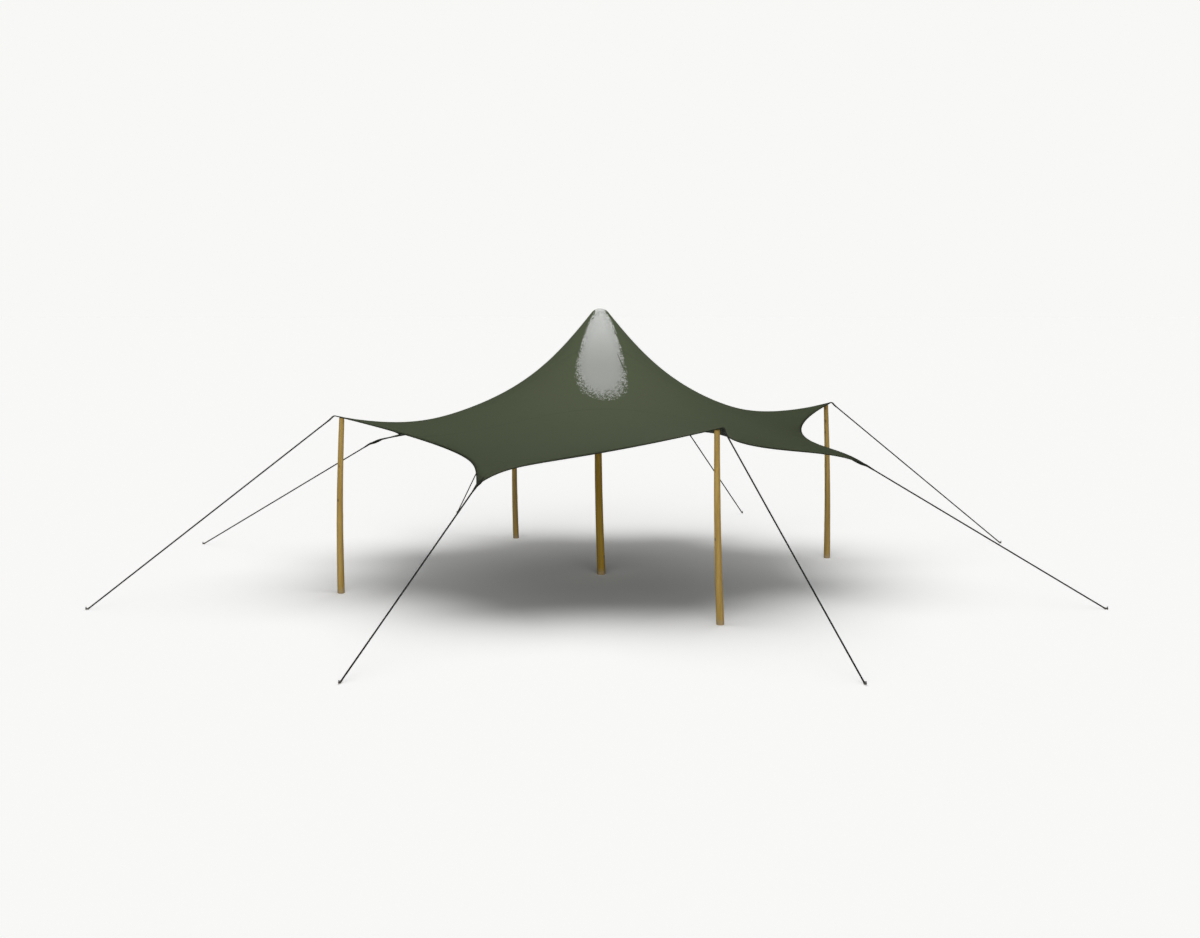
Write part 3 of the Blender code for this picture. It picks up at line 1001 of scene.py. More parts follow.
def curve_stitches_tree(row_tree):
    """Stitch rows on both faces of the cloth along an edge."""
    passed = {"Pitch": 0.01, "Length": 0.006, "Thickness": 0.0012, "Inset": 0.02, "Thread": "Material"}
    tree, start, end = new_geometry_tree("Two-faced stitches", {"Edge": "Geometry", "Lift": 0.0012, **passed})
    curve = geometry(tree, "MeshToCurve", {0: start["Edge"]})
    rows = []
    for face in (1.0, -1.0):
        inputs = {label: start[label] for label in passed}
        inputs.update({"Curve": curve, "Lift": start["Lift"] * face})
        rows.append(geometry(tree, "Group", inputs, node_tree=row_tree))
    return end_tree(joined(rows), start["Thread"], end)


def edge_chain(net, tip):
    """The edge from one tip to the next, short of both, with its inward and upward directions."""
    spokes = (tip * SPOKES_PER_SCALLOP + np.arange(SPOKES_PER_SCALLOP + 1)) % SPOKES
    points = net[RINGS, spokes]
    inner = net[RINGS - 1, spokes] - points
    along = unit_rows(np.gradient(points, axis=0))
    inward = unit_rows(inner - (inner * along).sum(1)[:, None] * along)
    upward = np.cross(inward, along)
    upward *= np.sign(upward[:, 2:])
    run = run_along(points)
    at = np.concatenate([[HEM_STOP], run[1:-1], [run[-1] - HEM_STOP]])
    points, inward, upward = (read_rows(at, run, rows) for rows in (points, inward, upward))
    return chain_mesh("edge", points, {"inward": inward, "upward": upward})


def make_hem_material(settings, groups):
    """Sleeve of cloth drawn tight over a cord, painted near-black as shade along the edge."""
    material, tree, shader = new_material("Hem sleeve", 0.9, specular=0.08)
    place, _ = coordinates(tree)
    tone = varied(groups, place, 3.0, 90.0, 0.2)
    ribs = calc("SINE", attribute(tree, "run") * (2 * math.pi / HEM_RIB_PITCH))
    factor = tone * (ribs * 0.06 + 1.0)
    feed(shader.inputs["Base Color"], tinted(settings.hem_colour, factor))
    set_bump(shader, ribs, 0.3, 0.0006)
    return material


def make_thread_material(settings, groups):
    """Bonded thread, a little lighter than the cloth."""
    material, tree, shader = new_material("Bonded thread", 0.6, specular=0.35)
    place, _ = coordinates(tree)
    tone = varied(groups, place, 9.0, 400.0, 0.3)
    feed(shader.inputs["Base Color"], tinted(settings.thread_colour, tone))
    set_bump(shader, noise(place, 900.0, 1.0), 0.3, 0.0004)
    return material


def make_webbing_material(settings, groups):
    """Dark polyester webbing with its ribbed weave, painted darker still as shade on the tips."""
    material, tree, shader = new_material("Dark webbing", 0.85, specular=0.1)
    place, pattern = coordinates(tree)
    weave = use_group(groups["woven"], {"Vector": pattern, "Pitch": WEBBING_PITCH, "Slant": 0.9})
    tone = varied(groups, place, 8.0, 120.0, 0.22)
    factor = tone * (weave["Height"] * 0.5 + 0.72)
    feed(shader.inputs["Base Color"], tinted(settings.webbing_colour, factor))
    set_bump(shader, weave["Height"], 0.5, 0.0008)
    return material


def tab_line(net, tip, node):
    """The middle line of a tab: over the cloth to its tip, round the bend and down to the rope."""
    spoke = net[::-1, tip * SPOKES_PER_SCALLOP]
    overlap = HIGH_TAB_OVERLAP if tip % 2 == 0 else LOW_TAB_OVERLAP
    over = read_rows(overlap * np.array(TAB_HOLDS), run_along(spoke), spoke)
    return np.concatenate([over, end_centres(node)])


def smooth_line(points, count):
    """Evenly spaced stations along a smooth line through a few points."""
    run = run_along(points)
    at = np.linspace(0, run[-1], count)
    return smooth_curve(at, run, points), at / run[-1]


def tab_sections(tip, shares):
    """The widths and thicknesses of a tab at shares of its length."""
    if tip % 2 == 0:
        known, widths, thicknesses = HIGH_TAB_SHARES, HIGH_TAB_WIDTHS, HIGH_TAB_THICKNESSES
    else:
        known, widths, thicknesses = LOW_TAB_SHARES, LOW_TAB_WIDTHS, LOW_TAB_THICKNESSES
    return np.interp(shares, known, widths), np.interp(shares, known, thicknesses)


def rounded(value, power):
    """A sine or cosine drawn towards its ends, which squares off a round section."""
    return math.copysign(abs(value) ** power, value)


def make_tab_mesh(name, line, tip):
    """Loft the flat webbing along its middle line into a sleeve that grips the rope."""
    stations, shares = smooth_line(line, TAB_STATIONS)
    along = unit_rows(np.gradient(stations, axis=0))
    level = np.cross([0, 0, 1], along[-1])
    level /= np.linalg.norm(level)
    bm = bmesh.new()
    pattern = bm.loops.layers.uv.new("flat_pattern")
    rings = []
    widths, thicknesses = tab_sections(tip, shares)
    for station, width, thickness, direction in zip(stations, widths, thicknesses, along):
        upper = np.cross(direction, level)
        ring = []
        for side in range(TAB_SIDES):
            turn = 2 * math.pi * side / TAB_SIDES
            across = rounded(math.cos(turn), TAB_ROUNDING[0]) * width / 2
            lift = rounded(math.sin(turn), TAB_ROUNDING[1]) * thickness / 2
            ring.append(bm.verts.new(station + level * across + upper * lift))
        rings.append(ring)
    length = run_along(stations)[-1]
    for near, far, share in zip(rings, rings[1:], shares):
        for side in range(TAB_SIDES):
            beside = (side + 1) % TAB_SIDES
            face = bm.faces.new((near[side], near[beside], far[beside], far[side]))
            face.smooth = True
            run = length * share
            step = length / (TAB_STATIONS - 1)
            girth, beyond = TAB_GIRTH_STEP * side, TAB_GIRTH_STEP * (side + 1)
            corners = ((run, girth), (run, beyond), (run + step, beyond), (run + step, girth))
            for loop, corner in zip(face.loops, corners):
                loop[pattern].uv = corner
    bm.faces.new(rings[0])
    bm.faces.new(rings[-1])
    bmesh.ops.recalc_face_normals(bm, faces=bm.faces)
    mesh = bpy.data.meshes.new(name)
    bm.to_mesh(mesh)
    bm.free()
    return mesh, stations, level, along


def tab_stitch_mesh(trees, stations, level, along, tip, settings, thread):
    """Two rows of stitches down the tab, on both of its faces."""
    flat = stations[TAB_STITCHED]
    upward = np.cross(along[TAB_STITCHED], level)
    _, thick = tab_sections(tip, np.linspace(0, 1, TAB_STATIONS)[TAB_STITCHED])
    directions = {"inward": np.tile(level, (len(flat), 1)), "upward": upward * thick[:, None]}
    rows = []
    for side in (-1.0, 1.0):
        values = {
            "Pitch": TAB_STITCH_PITCH,
            "Length": TAB_STITCH_LENGTH,
            "Thickness": settings.thread_thickness,
            "Inset": side * TAB_STITCH_INSET,
            "Lift": TAB_STITCH_LIFT,
            "Thread": thread,
        }
        rows.append(run_nodes(trees["stitches"], chain_mesh("tab_row", flat, directions), values))
    return rows


# Laid ropes, pegs and lashings

def rope_tree():
    """Strands laid round each other, drawn along a straight line and whipped at both ends."""
    tree, start, end = new_geometry_tree(
        "Laid rope",
        {
            "Line": "Geometry",
            "Radius": 0.01,
            "Lay": 0.066,
            "Strands": 3,
            "Spacing": 0.005,
            "Whipping": 0.035,
            "Twine": TWINE_THICKNESS,
            "Finish": "Material",
        },
    )
    curve = geometry(tree, "MeshToCurve", {0: start["Line"]})
    even = even_curve(curve, start["Spacing"])
    tilt = distance_along(tree) / start["Lay"] * (2 * math.pi)
    twisted = geometry(tree, "SetCurveTilt", {"Curve": even, "Tilt": tilt})
    turn = (geometry(tree, "InputIndex") + 0.5) / ROPE_PROFILE_SIDES
    within = calc("FRACT", turn * start["Strands"])
    local = within * 2.0 - 1.0
    angle = local * math.pi / start["Strands"]
    radius = strand_reach(angle) * start["Radius"]
    profile = store(circle(tree, ROPE_PROFILE_SIDES, 1.0), "strand", local)
    place = geometry(tree, "InputPosition")
    inputs = {"Geometry": profile, "Position": scaled(place, radius)}
    rope = sweep(twisted, geometry(tree, "SetPosition", inputs))
    ends = [whipping(tree, curve, start, from_start) for from_start in (True, False)]
    return end_tree(joined([rope, *ends]), start["Finish"], end)


def strand_reach(angle):
    """The share of the rope's radius at an angle from the middle of a strand."""
    centre = 1.0 - STRAND_SWELL
    sine = calc("SINE", angle) * centre
    return calc("COSINE", angle) * centre + calc("SQRT", STRAND_SWELL**2 - sine * sine)


def whipping(tree, curve, start, from_start):
    """Tight turns of twine round one end of the rope."""
    trimmed = add_node(tree, "GeometryNodeTrimCurve", {"Curve": curve}, mode="LENGTH")
    lengths = [socket for socket in trimmed.inputs if socket.type == "VALUE" and socket.enabled]
    whole = geometry(tree, "CurveLength", {0: curve})
    if from_start:
        lengths[0].default_value = 0.0
        feed(lengths[1], start["Whipping"])
    else:
        feed(lengths[0], whole - start["Whipping"])
        feed(lengths[1], whole)
    dots = curve_dots(Field(trimmed.outputs[0]), start["Twine"])
    ring = circle(tree, WHIPPING_SIDES, start["Radius"])
    section = circle(tree, TWINE_SIDES, start["Twine"] * 0.5)
    hoop = geometry(tree, "CurveToMesh", {"Curve": ring, "Profile Curve": section})
    inputs = {"Points": dots["Points"], "Instance": hoop, "Rotation": dots["Rotation"]}
    turns = geometry(tree, "RealizeInstances", {0: geometry(tree, "InstanceOnPoints", inputs)})
    return store(turns, "twine", 1.0)


def make_rope_material(settings, groups):
    """Dark grey laid rope, with a painted highlight on each strand's crown, painted shade between the
    strands, darker twine and dust near the ground.
    """
    material, tree, shader = new_material("Laid rope", 0.9, specular=0.1)
    place, _ = coordinates(tree)
    tone = varied(groups, place, 2.5, 60.0, 0.25)
    run, strand, twine = (attribute(tree, name) for name in ("run", "strand", "twine"))
    fibre = calc("SINE", strand * ROPE_FIBRES[0] + run * ROPE_FIBRES[1])
    # Painted highlight on the strands' crowns and painted shade in the grooves between them.
    painted_strand_shade = remap(calc("ABSOLUTE", strand), *ROPE_PAINTED_SHADING)
    factor = tone * (fibre * 0.1 + painted_strand_shade)
    rope = tinted(settings.rope_colour, factor)
    colour = mix_colour(twine, rope, settings.twine_colour)
    colour, _ = dusted(groups, place, 0.05, 0.35, colour, settings.dust_colour)
    feed(shader.inputs["Base Color"], colour)
    set_bump(shader, fibre, 0.4, 0.0005)
    return material


def make_steel_material(settings, groups):
    """Dull galvanised steel with fine scratches, dusty towards the ground."""
    material, tree, shader = new_material("Galvanised steel", 0.45, metallic=1.0)
    place, _ = coordinates(tree)
    colour = tinted(settings.steel_colour, varied(groups, place, 60.0, 500.0, 0.35))
    colour, dust = dusted(groups, place, 0.03, 0.6, colour, settings.dust_colour)
    feed(shader.inputs["Base Color"], colour)
    scratches = noise(stretched(place, (900.0, 900.0, 120.0)), 1.0, 2.0)
    feed(shader.inputs["Roughness"], remap(scratches, 0.3, 0.7, 0.36, 0.6))
    feed(shader.inputs["Metallic"], 1.0 - dust)
    set_bump(shader, scratches, 0.15, 0.0004)
    return material


def turned_mesh(name, profile, sides, material):
    """Turn a profile of (radius, height) points, from the top axis down to the bottom axis."""
    blank = link_object(name, chain_mesh(name, [(radius, 0, height) for radius, height in profile]))
    screw = blank.modifiers.new("Turn", "SCREW")
    screw.steps = screw.render_steps = sides
    screw.use_merge_vertices = True
    screw.merge_threshold = TURNED_MERGE
    turned = applied_mesh(blank)
    bm = bmesh.new()
    bm.from_mesh(turned)
    bmesh.ops.recalc_face_normals(bm, faces=bm.faces)
    bm.to_mesh(turned)
    bm.free()
    turned.materials.append(material)
    turned.shade_smooth()
    turned.set_sharp_from_angle(angle=TURNED_SHARP_ANGLE)
    return turned


def peg_place(name):
    """A CAD peg's middle on the floor, its radius, and the heights of its foot and top."""
    low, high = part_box("ground_peg_" + name)
    return Vector(((low.x + high.x) / 2, (low.y + high.y) / 2, 0)), (high.x - low.x) / 2, low.z, high.z


def make_peg(name, material):
    """A steel peg's mushroomed head, standing where the CAD peg stands."""
    middle, radius, foot, top = peg_place(name)
    profile = [(r * radius, foot + z * (top - foot)) for r, z in PEG_PROFILE + PEG_FOOT]
    mesh = turned_mesh("peg", profile, PEG_SIDES, material)
    mesh.transform(Matrix.Translation(middle))
    finish_piece("steel_peg_" + name, mesh, "peg_steel", "ground_peg_" + name)


def lashing_tree():
    """Turns of thin cord stacked up a line, each round the peg and the rope together."""
    inputs = {"Loops": "Geometry", "Cord Radius": LASHING_CORD, "Cord": "Material"}
    tree, start, end = new_geometry_tree("Cord lashing", inputs)
    curve = geometry(tree, "MeshToCurve", {0: start["Loops"]})
    tube = sweep(curve, circle(tree, LASHING_SIDES, start["Cord Radius"]))
    return end_tree(store(tube, "twine", 1.0), start["Cord"], end)


def lashing_points(name):
    """A cord wound up round the peg and the foot of the rope, which leans away from it."""
    peg, widest, _, _ = peg_place(name)
    top, foot = end_centres("guy_rope_" + name)
    slope = (top - foot) / (top - foot).z
    peg_radius = widest * PEG_SHANK_SHARE + LASHING_CORD
    rope_radius = (frame_rope_radius() + LASHING_CORD) * LASHING_SLACK
    points = []
    for step in range(LASHING_TURNS * LASHING_STEPS + 1):
        turns = step / LASHING_STEPS
        height = LASHING_FOOT + turns * LASHING_CORD * LASHING_SPACING
        rope = foot + slope * (height - foot.z)
        rope.z = 0
        across = (rope - peg).normalized()
        side = Vector((-across.y, across.x, 0))
        angle = 2 * math.pi * (turns % 1)
        centre, radius = (rope, rope_radius) if math.cos(angle) > 0 else (peg, peg_radius)
        point = centre + (across * math.cos(angle) + side * math.sin(angle)) * radius
        points.append(point + Vector((0, 0, height)))
    return points


def rope_line(name):
    """The rope's two ends, the lower one drawn up until its whipping clears the floor."""
    top, foot = end_centres("guy_rope_" + name)
    axis = (top - foot).normalized()
    reach = frame_rope_radius() * CROWN_SHARE + TWINE_THICKNESS
    level = reach * math.hypot(axis.x, axis.y)
    return [top, foot + axis * max(0.0, (level - foot.z) / axis.z)]


def frame_rope_radius():
    """The guy rope's radius, read from the CAD rope's sides."""
    top, foot = end_centres("guy_rope_right")
    axis = (top - foot).normalized()
    points = [vert.co - foot for vert in frame["nodes"]["guy_rope_right"].data.vertices]
    return max((point - axis * point.dot(axis)).length for point in points)


# Timber

def pole_tree():
    """A natural pole: a tapered, leaning, slightly uneven stem with a few knots."""
    tree, start, end = new_geometry_tree(
        "Natural pole",
        {
            "Stem": "Geometry",
            "Sides": POLE_SIDES,
            "Unevenness": 0.002,
            "Knot Swell": 0.002,
            "Seed": 0.0,
            "Timber": "Material",
        },
    )
    curve = geometry(tree, "MeshToCurve", {0: start["Stem"]})
    stem = sweep(curve, circle(tree, start["Sides"], 1.0), Scale=named_float(tree, "girth"))
    leaning = move(stem, named_vector(tree, "lean"))
    place = geometry(tree, "InputPosition")
    shifted = vector_calc("ADD", place, combined(start["Seed"]))
    lumps = noise(stretched(shifted, POLE_LUMPS), 1.0, 3.0) - 0.5
    knots = remap(knot_distance(place), *KNOT_SWELLING, 1.0, 0.0, smooth=True)
    rise = lumps * start["Unevenness"] + knots * start["Knot Swell"]
    return end_tree(swell(leaning, rise * named_float(tree, "calm")), start["Timber"], end)


def knot_distance(place):
    """Distance from the nearest knot, in cells that are longer up the pole."""
    inputs = {"Vector": stretched(place, KNOT_CELLS), "Scale": 1.0, "Randomness": 1.0}
    return texture("Voronoi", "Distance", inputs, feature="F1")


def fibre_group():
    """Timber fibres that run up the pole: broad streaks, fine grain and a few drying checks."""
    tree, start, end = new_group(
        "Timber fibres",
        "ShaderNodeTree",
        {"Vector": "Vector", "Streaks": 28.0, "Grain": 190.0, "Knot": 0.0},
        {"Tone": "Float", "Height": "Float", "Check": "Float"},
    )
    wander = noise(stretched(start["Vector"], (3.0, 3.0, 1.6)), 1.0, 2.0)
    bend = start["Knot"] * 0.02 + wander * 0.035
    bent = vector_calc("ADD", start["Vector"], combined(bend, bend))
    streaks = noise(stretched(bent, (1.0, 1.0, 0.035)), start["Streaks"], 3.0, 0.55)
    grain = noise(stretched(bent, (1.0, 1.0, 0.02)), start["Grain"], 3.0, 0.6)
    tone = streaks * 0.62 + grain * 0.38
    checks = noise(stretched(bent, (1.0, 1.0, 0.028)), 60.0, 1.0)
    gate = remap(noise(stretched(start["Vector"], (5.0, 5.0, 1.2)), 1.0, 1.0), 0.52, 0.6)
    check = remap(calc("ABSOLUTE", checks - 0.5), 0.0, 0.006, 1.0, 0.0) * gate
    feed(end["Tone"], tone)
    feed(end["Check"], check)
    feed(end["Height"], grain * 0.5 - check * 0.9)
    return tree


def make_timber_material(name, light, dark, knot_colour, dust_colour, groups):
    """Natural pole with streaked grain, knots, drying checks, a dusty foot and each pole's painted light and
    shade.
    """
    material, tree, shader = new_material(name, 0.62, specular=0.18)
    place, _ = coordinates(tree)
    distance = knot_distance(place)
    knot = remap(distance, *KNOT_BENDING, 1.0, 0.0, smooth=True)
    values = {"Vector": place, "Streaks": 28.0, "Grain": 190.0, "Knot": knot}
    fibre = use_group(groups["fibre"], values)
    # The tone attribute paints each pole's light and shade into its colour.
    tone = varied(groups, place, 1.7, 30.0, 0.08) * attribute(tree, "tone")
    colour = mix_colour(remap(fibre["Tone"], 0.40, 0.62), dark, light)
    years = calc("SINE", distance * KNOT_YEARS)
    heart = remap(distance, *KNOT_HEART, 0.9, 0.0, smooth=True)
    ringed = heart * (years * 0.2 + 0.8)
    colour = mix_colour(ringed, colour, knot_colour)
    colour = mix_colour(fibre["Check"] * 0.55, colour, knot_colour)
    colour, _ = dusted(groups, place, 0.10, 0.4, tinted(colour, tone), dust_colour)
    feed(shader.inputs["Base Color"], colour)
    feed(shader.inputs["Roughness"], remap(fibre["Tone"], 0.3, 0.7, 0.72, 0.55))
    set_bump(shader, fibre["Height"], 0.35, 0.0015)
    return material


def make_head_material(settings):
    """Turned and oiled wood, with grain seen from the side and faint tool rings."""
    material, tree, shader = new_material("Turned head wood", 0.5, specular=0.45)
    place, _ = coordinates(tree)
    across = stretched(place, (1.0, 0.12, 1.0))
    grain = noise(across, 70.0, 4.0, 0.6)
    fine = noise(across, 420.0, 2.0)
    tone = fine * 0.3 + grain * 0.7
    light = settings.head_colour
    dark = [part * HEAD_STREAKS for part in light]
    colour = mix_colour(remap(tone, 0.36, 0.62), dark, light)
    feed(shader.inputs["Base Color"], colour)
    rings = calc("SINE", split(place)[2] * (2 * math.pi / HEAD_RING_PITCH))
    set_bump(shader, rings * 0.15 + tone, 0.25, 0.0006)
    return material


def make_pole(node, seed, tone, trees, material, settings):
    """A pole that follows its CAD solid's rings, with finer sides, an uneven surface and its own painted
    light and shade as a tone.
    """
    heights, centres, radii = level_rings(node)
    count = int(POLE_RINGS_PER_METRE * (heights[-1] - heights[0]))
    at = np.unique(np.concatenate([np.linspace(heights[0], heights[-1], count), end_heights(heights)]))
    lean = smooth_curve(at, heights, centres)
    girth = np.interp(at, heights, radii)
    calm = np.clip(np.minimum(at - heights[0], heights[-1] - at) / POLE_END_CALM, 0, 1)
    points = np.stack([np.zeros_like(at), np.zeros_like(at), at], 1)
    leans = np.concatenate([lean, np.zeros((len(at), 1))], 1)
    # The tone attribute carries the pole's painted light and shade.
    floats = {"girth": girth, "calm": calm, "tone": np.full(len(at), tone)}
    stem = chain_mesh(node, points, {"lean": leans}, floats)
    values = {
        "Sides": POLE_SIDES,
        "Unevenness": settings.pole_unevenness,
        "Knot Swell": settings.knot_swell,
        "Seed": seed,
        "Timber": material,
    }
    finish_piece("timber_" + node, run_nodes(trees["pole"], stem, values), "pole_timber", node)


def end_heights(heights):
    """Extra rings over the rounded top and foot of a pole."""
    (top_depth, top_rings), (foot_depth, foot_rings) = POLE_END_RINGS
    top = np.linspace(heights[-1] - top_depth, heights[-1], top_rings)
    foot = np.linspace(heights[0], heights[0] + foot_depth, foot_rings)
    return np.concatenate([foot, top])


# Settings that a user would change

def colour_property(label, description, default):
    """A colour that shows in the panel."""
    return FloatVectorProperty(
        name=label, description=description, subtype="COLOR", size=3, min=0.0, max=1.0, default=default
    )


def length_property(label, description, default):
    """A length in metres that shows in the panel."""
    return FloatProperty(name=label, description=description, default=default, min=0.0, unit="LENGTH")


def strength_property(label, description, default):
    """A strength that shows in the panel."""
    return FloatProperty(name=label, description=description, default=default, min=0.0)


def angle_property(label, description, degrees):
    """An angle that shows in the panel."""
    return FloatProperty(name=label, description=description, default=math.radians(degrees), subtype="ANGLE")


class TentClothSettings(bpy.types.PropertyGroup):
    """Cloth, hems, webbing and thread."""

    cloth_colour: colour_property("Cloth", "Upper face of the cloth", (0.0420, 0.0507, 0.0281))
    patch_high_colour: colour_property("Patch, upper end", "Worn patch at the peak", (0.264, 0.270, 0.259))
    patch_low_colour: colour_property("Patch, lower end", "Worn patch lower down", (0.182, 0.188, 0.176))
    # The hem is painted near-black, darker than the cloth, as painted shade along the edge.
    hem_colour: colour_property("Hem", "Colour of the hem sleeve", (0.013, 0.016, 0.010))
    # The webbing's own dark colour is made darker still as painted shade on the tips' tails.
    webbing_colour: colour_property("Webbing", "Colour of the webbing tabs", (0.013, 0.015, 0.010))
    thread_colour: colour_property("Thread", "Colour of the sewing thread", (0.062, 0.072, 0.046))
    thickness: length_property("Cloth thickness", "Thickness of the sheet", 0.0024)
    thread_pitch: length_property("Weave pitch", "Distance between threads of the weave", 0.0018)
    panel_width: length_property("Roll width", "Width of the rolls that the sheet is sewn from", 1.5)
    hem_radius: length_property("Hem radius", "Radius of the corded hem", 0.006)
    stitch_pitch: length_property("Stitch pitch", "Distance from stitch to stitch along the hem", 0.010)
    stitch_length: length_property("Stitch length", "Length of one stitch", 0.0066)
    thread_thickness: length_property("Thread thickness", "Thickness of the sewing thread", 0.0014)
    stitch_inset: length_property("Stitch inset", "Distance of the stitches from the edge", 0.019)


class TentTimberSettings(bpy.types.PropertyGroup):
    """Poles and the domed head."""

    timber_colour: colour_property("Timber", "Light parts of the grain", (0.350, 0.235, 0.066))
    timber_dark_colour: colour_property("Timber streaks", "Dark parts of the grain", (0.258, 0.164, 0.040))
    # The centre pole's timber is a darker, more saturated copy of the side poles' timber: painted shade for
    # the canopy's shade on it.
    centre_colour: colour_property("Centre pole", "Light parts of its grain", (0.312, 0.196, 0.021))
    centre_dark_colour: colour_property("Centre streaks", "Dark parts of its grain", (0.220, 0.130, 0.012))
    knot_colour: colour_property("Knots", "Knots and drying checks", (0.065, 0.038, 0.0145))
    head_colour: colour_property("Head", "Turned wood of the pole head", RECORD_COLOURS["head_timber"])
    pole_unevenness: length_property("Unevenness", "Lumps left on the natural pole", 0.0045)
    knot_swell: length_property("Knot swell", "How far a knot stands out", 0.0022)


class TentRopeSettings(bpy.types.PropertyGroup):
    """Guy ropes, twine and pegs."""

    rope_colour: colour_property("Rope", "Colour of the guy ropes", (0.022, 0.023, 0.020))
    twine_colour: colour_property("Twine", "Colour of the whippings and lashings", (0.035, 0.036, 0.032))
    steel_colour: colour_property("Steel", "Colour of the pegs", RECORD_COLOURS["peg_steel"])
    dust_colour: colour_property("Dust", "Dust on what stands on the ground", (0.30, 0.27, 0.22))
    lay: length_property("Lay", "Length in which a strand goes once round the rope", 0.066)
    strands: IntProperty(name="Strands", description="Strands laid into the rope", default=3, min=2, max=6)
    whipping: length_property("Whipping", "Length of the whipping at each end", 0.035)


class TentStageSettings(bpy.types.PropertyGroup):
    """Floor and light."""

    floor_colour: colour_property("Floor", "Colour of the plain floor", (0.93, 0.93, 0.92))
    backdrop_colour: colour_property("Backdrop", "Colour behind the floor", (0.939, 0.939, 0.922))
    sky_strength: strength_property("Sky", "Light from all round", 0.02)
    overhead_strength: strength_property("Overhead light", "Light of the lamp on the floor", 2.69)
    overhead_height: length_property("Overhead height", "Height of the overhead lamp", 8.0)
    overhead_radius: length_property("Overhead radius", "Radius of the overhead lamp", 4.5)
    overhead_shift: length_property("Overhead shift", "How far in front of the peak it hangs", 1.0)
    front_strength: strength_property("Front light", "Low soft light from the front", 2.10)
    front_spread: angle_property("Front spread", "Angle that the front light fills", 50.0)
    front_height: angle_property("Front height", "Height of the front light over the horizon", 10.0)


# Operators

SHARED = {}


def shared_groups():
    """Shader groups, trees and the canopy's net, built once and used by every operator."""
    if not SHARED:
        SHARED["shaders"] = {
            "variation": soft_variation_group(),
            "woven": woven_group(),
            "dust": ground_dust_group(),
            "fibre": fibre_group(),
        }
        SHARED["trees"] = {
            "stitches": curve_stitches_tree(stitch_row_tree()),
            "hem": hem_tree(),
            "rope": rope_tree(),
            "lashing": lashing_tree(),
            "pole": pole_tree(),
        }
        SHARED["net"] = relaxed_net()
    return SHARED["shaders"], SHARED["trees"], SHARED["net"]


def lamp_falloff(tree, settings):
    """The share of the overhead lamp's light that a spot on the floor lacks against the spot below it."""
    height, radius = settings.overhead_height, settings.overhead_radius
    spot = outputs_of(tree.nodes.new("ShaderNodeNewGeometry"))["Position"]
    x, y, _ = split(vector_calc("ADD", spot, (0.0, settings.overhead_shift, 0.0)))
    away = x * x + y * y
    near = away + (height**2 - radius**2)
    far = away + (height**2 + radius**2)
    squares = away * (-4 * radius**2) + far * far
    lit = 1.0 - near / calc("SQRT", squares)
    most = 2 * radius**2 / (height**2 + radius**2)
    return 1.0 - lit / most


